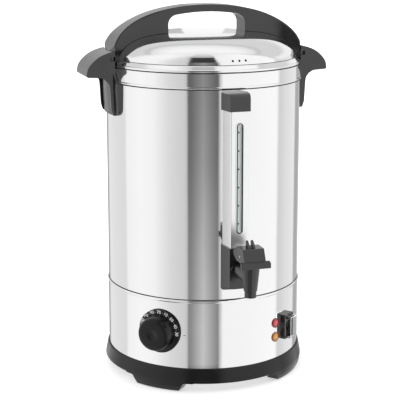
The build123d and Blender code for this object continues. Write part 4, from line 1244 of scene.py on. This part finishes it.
@dataclass
class Seams:
    """Rolled edges and thin black rings that paint the shadow in the joints between the sheet-metal parts."""

    rolled: dict[str, list[Corner]] = field(default_factory=lambda: {
        "housing_rolled_edge": [
            (130.2, 120.2), (130.8, 120.3), (131.25, 121.1), (131.4, 122.2), (131.25, 123.3), (130.8, 124.0),
            (130.2, 124.1),
        ],
        "collar_rolled_edge": [
            (130.2, 397.5), (131.2, 397.6), (131.6, 398.3), (131.65, 399.1), (131.4, 400.0), (130.9, 400.6),
        ],
    })
    # Black rings that paint the shadow in the joints, as (radius, height) corners.
    joints: dict[str, list[Corner]] = field(default_factory=lambda: {
        "housing_joint_shadow": [(129.8, 124.1), (130.3, 124.1), (130.3, 125.1), (129.8, 125.1)],
        "collar_joint_shadow": [(129.8, 396.1), (130.3, 396.1), (130.5, 397.5), (129.8, 397.5)],
        "base_joint_shadow": [(130.3, 31.2), (131.9, 31.2), (131.7, 31.9), (130.3, 31.9)],
    })
    # Black rings that paint the shadow at the lid's edge and at the foot of its dome.
    lid_joints: dict[str, list[Corner]] = field(default_factory=lambda: {
        "lid_joint_shadow": [(129.6, 417.25), (130.9, 417.25), (131.1, 417.75), (129.6, 417.75)],
        "dome_foot_shadow": [(124.3, 426.1), (124.9, 426.1), (124.7, 426.6), (124.3, 426.6)],
    })
    edge_reach: float = 0.118
    edge_steps: int = 59
    edge_height: float = 0.0008
    edge_depth: float = 0.0006
    edge_inset: float = 0.0002
    edge_foot: float = 0.0004
    first_depth: float = 0.0175
    least_depth: float = 0.005
    over_dome: float = 0.0012
    above: float = 0.55
    beside: float = 0.2
    passes: int = 3

    def build(self, frame: dict, finishes: dict[str, bpy.types.Material]) -> None:
        """Roll the edges and lay the black lines that paint the shadow in the joints.

        Args:
            finishes: the materials by name.
        """
        for name, profile in self.rolled.items():
            piece = turned(name, profile, finishes["polished_steel"])
            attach(piece, "urn")
        for body, group in (("urn", self.joints), ("lid", self.lid_joints)):
            for name, profile in group.items():
                piece = turned(name, profile, finishes["shadow_and_lining_black"])
                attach(piece, body)
        for name, side in (("handle_foot_shadow_front", -1.0), ("handle_foot_shadow_back", 1.0)):
            self.build_handle_joint(name, side, frame, finishes)

    def build_handle_joint(
        self, name: str, side: float, frame: dict, finishes: dict[str, bpy.types.Material]
    ) -> None:
        """Lay the black strip that paints the shadow where the lid handle meets the dome.

        Args:
            name: the piece's name.
            side: -1 for the front of the handle, 1 for its back.
            finishes: the materials by name.
        """
        trees = {}
        for node in ("lid", "lid_handle"):
            solid = bmesh.new()
            solid.from_mesh(frame["nodes"][node].data)
            trees[node] = BVHTree.FromBMesh(solid)
            solid.free()
        runs: list[list[Vector]] = [[]]
        for step in range(-self.edge_steps, self.edge_steps + 1):
            point = self.joint_point(trees, self.edge_reach * step / self.edge_steps, side)
            if point is not None:
                runs[-1].append(point)
            elif runs[-1]:
                runs.append([])
        mesh = bmesh.new()
        for run in runs:
            if len(run) > 2:
                self.add_strip(mesh, run, side)
        piece = object_from(name, mesh, finishes["shadow_and_lining_black"], smooth=False)
        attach(piece, "lid")

    def joint_point(self, trees: dict[str, BVHTree], x: float, side: float) -> Vector | None:
        """Find where the foot of the lid handle meets the dome.

        Args:
            trees: the lid and its handle, ready for rays.
            x: where along the handle.
            side: -1 for the front of the handle, 1 for its back.

        Returns:
            The point, or None where the handle stands clear of the dome.
        """
        y = side * self.first_depth
        for _ in range(self.passes):
            top = trees["lid"].ray_cast(Vector((x, y, self.above)), Vector((0, 0, -1)))[0]
            if top is None:
                return None
            start = Vector((x, side * self.beside, top.z + self.over_dome))
            face = trees["lid_handle"].ray_cast(start, Vector((0, -side, 0)), self.beside)[0]
            if face is None or face.y * side < self.least_depth:
                return None
            y = face.y + side * self.edge_inset
        return Vector((x, face.y, top.z))

    def add_strip(self, mesh: bmesh.types.BMesh, run: list[Vector], side: float) -> None:
        """Add one closed strip of the painted shadow line.

        Args:
            mesh: where it goes.
            run: points along the foot of the handle.
            side: -1 for the front of the handle, 1 for its back.
        """
        rings = []
        for x, y, z in run:
            inner = y - side * self.edge_inset
            outer = y + side * self.edge_depth
            rings.append([mesh.verts.new(corner) for corner in (
                (x, inner, z - self.edge_foot), (x, outer, z - self.edge_foot),
                (x, outer, z + self.edge_height * 0.5), (x, inner, z + self.edge_height),
            )])
        bridge(mesh, rings)
        mesh.faces.new(rings[0])
        mesh.faces.new(rings[-1])


@dataclass
class TapSpring:
    """Return spring of the tap; the real one shortens as the stem lifts, this copy keeps its length."""

    stroke: float = 0.0032

    def build(self, frame: dict, finishes: dict[str, bpy.types.Material]) -> None:
        """Copy the wound spring onto the urn's body in place of the imported one.

        Args:
            finishes: the materials by name.
        """
        data = frame["nodes"]["tap_spring"].data.copy()
        data.name = "tap_spring_coil"
        data.materials.clear()
        data.materials.append(finishes["plain_steel"])
        piece = add_object("tap_spring_coil", data)
        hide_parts("tap_spring")
        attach(piece, "urn")
        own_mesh(piece)


@dataclass
class Gauge:
    """Lining of the gauge slot and the level marks on the sight tube."""

    half_width: float = 4.3
    bottom: float = 216.6
    top: float = 357.6
    band: float = 1.35
    front: float = 152.45
    back: float = 150.9
    mark_front: float = 146.95
    mark_reach: float = 1.35
    mark_line: float = 0.38
    first_mark: float = 228.5
    mark_step: float = 23.3
    mark_sink: float = 0.25
    mark_thickness: float = 0.3
    marks: int = 6

    def build(self, finishes: dict[str, bpy.types.Material]) -> None:
        """Line the slot and print the marks.

        Args:
            finishes: the materials by name.
        """
        lining = stadium(
            "gauge_slot_lining", self.half_width, self.bottom, self.top, self.band, self.back, self.front,
            finishes["shadow_and_lining_black"],
        )
        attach(lining, "urn")
        reach, line = self.mark_reach, self.mark_line
        cross = [
            [(-reach, -line), (reach, -line), (reach, line), (-reach, line)],
            [(-line, line), (line, line), (line, reach), (-line, reach)],
            [(-line, -reach), (line, -reach), (line, -line), (-line, -line)],
        ]
        for number in range(self.marks):
            height = (self.first_mark + number * self.mark_step) / MM
            place = panel_matrix(0.0, (self.mark_front - self.mark_sink) / MM, height)
            mark = flat_mark(
                f"level_mark_{number + 1}", cross, self.mark_thickness, finishes["grey_ink"], place,
            )
            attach(mark, "urn")


@dataclass
class Dial:
    """Turned knob of the thermostat, its printed scale and the index mark beside it."""

    angle: float = -43.0
    height: float = 0.080
    face: float = 0.1338
    figure_radius: float = 0.0258
    figure_height: float = 0.0042
    step: float = 22.5
    first: int = 30
    last: int = 110
    interval: int = 10
    knob: list[Corner] = field(default_factory=lambda: [
        (16.0, 131.2), (28.2, 131.2), (29.0, 131.9), (29.0, 133.2), (28.5, 133.8), (23.4, 133.8),
        (22.9, 134.3), (22.7, 137.0), (22.4, 142.0), (21.9, 147.0), (21.3, 150.0), (20.3, 151.7),
        (18.8, 152.7), (16.0, 153.1), (10.0, 153.3), (5.4, 153.3), (5.1, 153.0), (4.8, 152.8), (0.0, 152.8),
        (0.0, 150.0), (16.0, 150.0),
    ])
    knob_segments: int = 128
    figure_lift: float = 0.00004
    dot_size: float = 0.45
    dot_corners: int = 8
    dot_thickness: float = 0.06
    mark_place: float = -94.0
    mark_growth: float = 1.7
    index_half: Corner = (1.6, 0.3)
    index_thickness: float = 0.1
    index_sink: float = 0.00008
    index_angle: float = -28.2
    index_radius: float = 0.1306
    index_height: float = 0.0766

    def build(self, finishes: dict[str, bpy.types.Material]) -> None:
        """Turn the knob and print its scale and the index mark.

        Args:
            finishes: the materials by name.
        """
        base = panel_matrix(self.angle, 0.0, self.height)
        knob = turned("dial_turned_knob", self.knob, finishes["dial_plastic"], base, self.knob_segments)
        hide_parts("dial_knob")
        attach(knob, "dial")
        self.print_scale(finishes["white_ink"])
        wide, high = self.index_half
        index = flat_mark(
            "dial_index_mark", [[(-wide, -high), (wide, -high), (wide, high), (-wide, high)]],
            self.index_thickness, finishes["grey_ink"],
            panel_matrix(self.index_angle, self.index_radius - self.index_sink, self.index_height),
        )
        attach(index, "urn")

    def print_scale(self, ink: bpy.types.Material) -> None:
        """Print the numbers, the dots between them and the larger dot at the foot.

        Args:
            ink: their finish.
        """
        panel = panel_matrix(self.angle, self.face + self.figure_lift, self.height)
        upright = Matrix.Rotation(math.radians(-90), 4, "Z")
        dots = []
        for place, value in enumerate(range(self.first, self.last + self.interval, self.interval)):
            turn = place * self.step
            spot = Matrix.Rotation(math.radians(turn), 4, "Z")
            spot = spot @ Matrix.Translation((self.figure_radius, 0, 0))
            figure = lettering(
                f"dial_number_{value}", str(value), self.figure_height, ink, panel @ (spot @ upright),
            )
            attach(figure, "dial")
            if value != self.last:
                dots.append(self.dot(turn + self.step / 2, self.dot_size))
        dots.append(self.dot(self.mark_place, self.dot_size * self.mark_growth))
        panel = panel_matrix(self.angle, self.face, self.height)
        piece = flat_mark("dial_dots", dots, self.dot_thickness, ink, panel)
        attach(piece, "dial")

    def dot(self, turn: float, size: float) -> list[Corner]:
        """Return the corners of a printed dot.

        Args:
            turn: degrees round the dial from its right-hand side, anticlockwise.
            size: its radius in millimetres.

        Returns:
            Its corners in millimetres.
        """
        reach = self.figure_radius * MM
        way = math.radians(turn)
        middle = (reach * math.cos(way), reach * math.sin(way))
        turns = [step * 2 * math.pi / self.dot_corners for step in range(self.dot_corners)]
        return [(middle[0] + size * math.cos(turn), middle[1] + size * math.sin(turn)) for turn in turns]


def make_finishes() -> dict[str, bpy.types.Material]:
    """Draw every finish.

    Returns:
        The materials by name.
    """
    effects = Effects()
    finishes = [
        PolishedSteel("polished_steel"),
        TankSteel("tank_steel"),
        PolishedSteel("satin_steel", colour=(0.95, 0.95, 0.95), roughness=0.30, ripple=0.02),
        PlainSteel("plain_steel"),
        PlainSteel("blackened_steel", colour=(0.06, 0.06, 0.062), roughness=0.38),
        PlainSteel("copper", colour=(0.60, 0.30, 0.18), roughness=0.3),
        MouldedPlastic("charcoal_plastic"),
        MouldedPlastic("base_plastic", colour=(0.0048, 0.0045, 0.0046), worn=(0.02, 0.019, 0.02), gloss=0.38),
        MouldedPlastic(
            "dial_plastic", colour=(0.004, 0.004, 0.0042), worn=(0.012, 0.012, 0.012), roughness=0.30,
            gloss=0.30, grain=Grain.SMOOTH,
        ),
        MouldedPlastic("rocker_plastic", colour=(0.02, 0.02, 0.02), roughness=0.22, grain=Grain.SMOOTH),
        MouldedPlastic(
            "white_plastic", colour=(0.62, 0.61, 0.58), worn=(0.7, 0.7, 0.68), roughness=0.4, gloss=0.5,
        ),
        SoftRubber("foot_rubber"),
        # Matt black that paints the shadow in the joints; the gauge slot's lining uses it too.
        SoftRubber("shadow_and_lining_black", colour=(0.012, 0.012, 0.012), roughness=0.6),
        SoftRubber("silicone", colour=(0.62, 0.61, 0.58), roughness=0.6),
        MilkyTube("tube_glass"),
        ClearGlaze("boot_silicone", colour=(0.97, 0.98, 0.98), roughness=0.05, ior=1.22),
        LampLens(
            "red_lens", colour=(0.68, 0.012, 0.03), glow=(0.92, 0.14, 0.17),
            axis=tuple(round_place(29.2, 0.1330, 0.0812)),
        ),
        LampLens(
            "amber_lens", colour=(0.80, 0.26, 0.015), glow=(0.98, 0.55, 0.12),
            axis=tuple(round_place(29.2, 0.1330, 0.0619)),
        ),
        Ink("white_ink", colour=(0.95, 0.95, 0.93)),
        Ink("grey_ink", colour=(0.02, 0.02, 0.022)),
    ]
    return {finish.name: finish.make(effects) for finish in finishes}


def main() -> None:
    """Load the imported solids, finish them and build the studio round them."""
    logging.basicConfig(level=logging.INFO, format="%(name)s: %(message)s")
    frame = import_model()
    scene = bpy.context.scene
    scene.view_settings.view_transform = "Standard"
    finishes = make_finishes()
    Body().build(frame, finishes)
    Seams().build(frame, finishes)
    Gauge().build(finishes)
    TapSpring().build(frame, finishes)
    Dial().build(finishes)
    Studio().build()


if __name__ == "__main__":
    main()
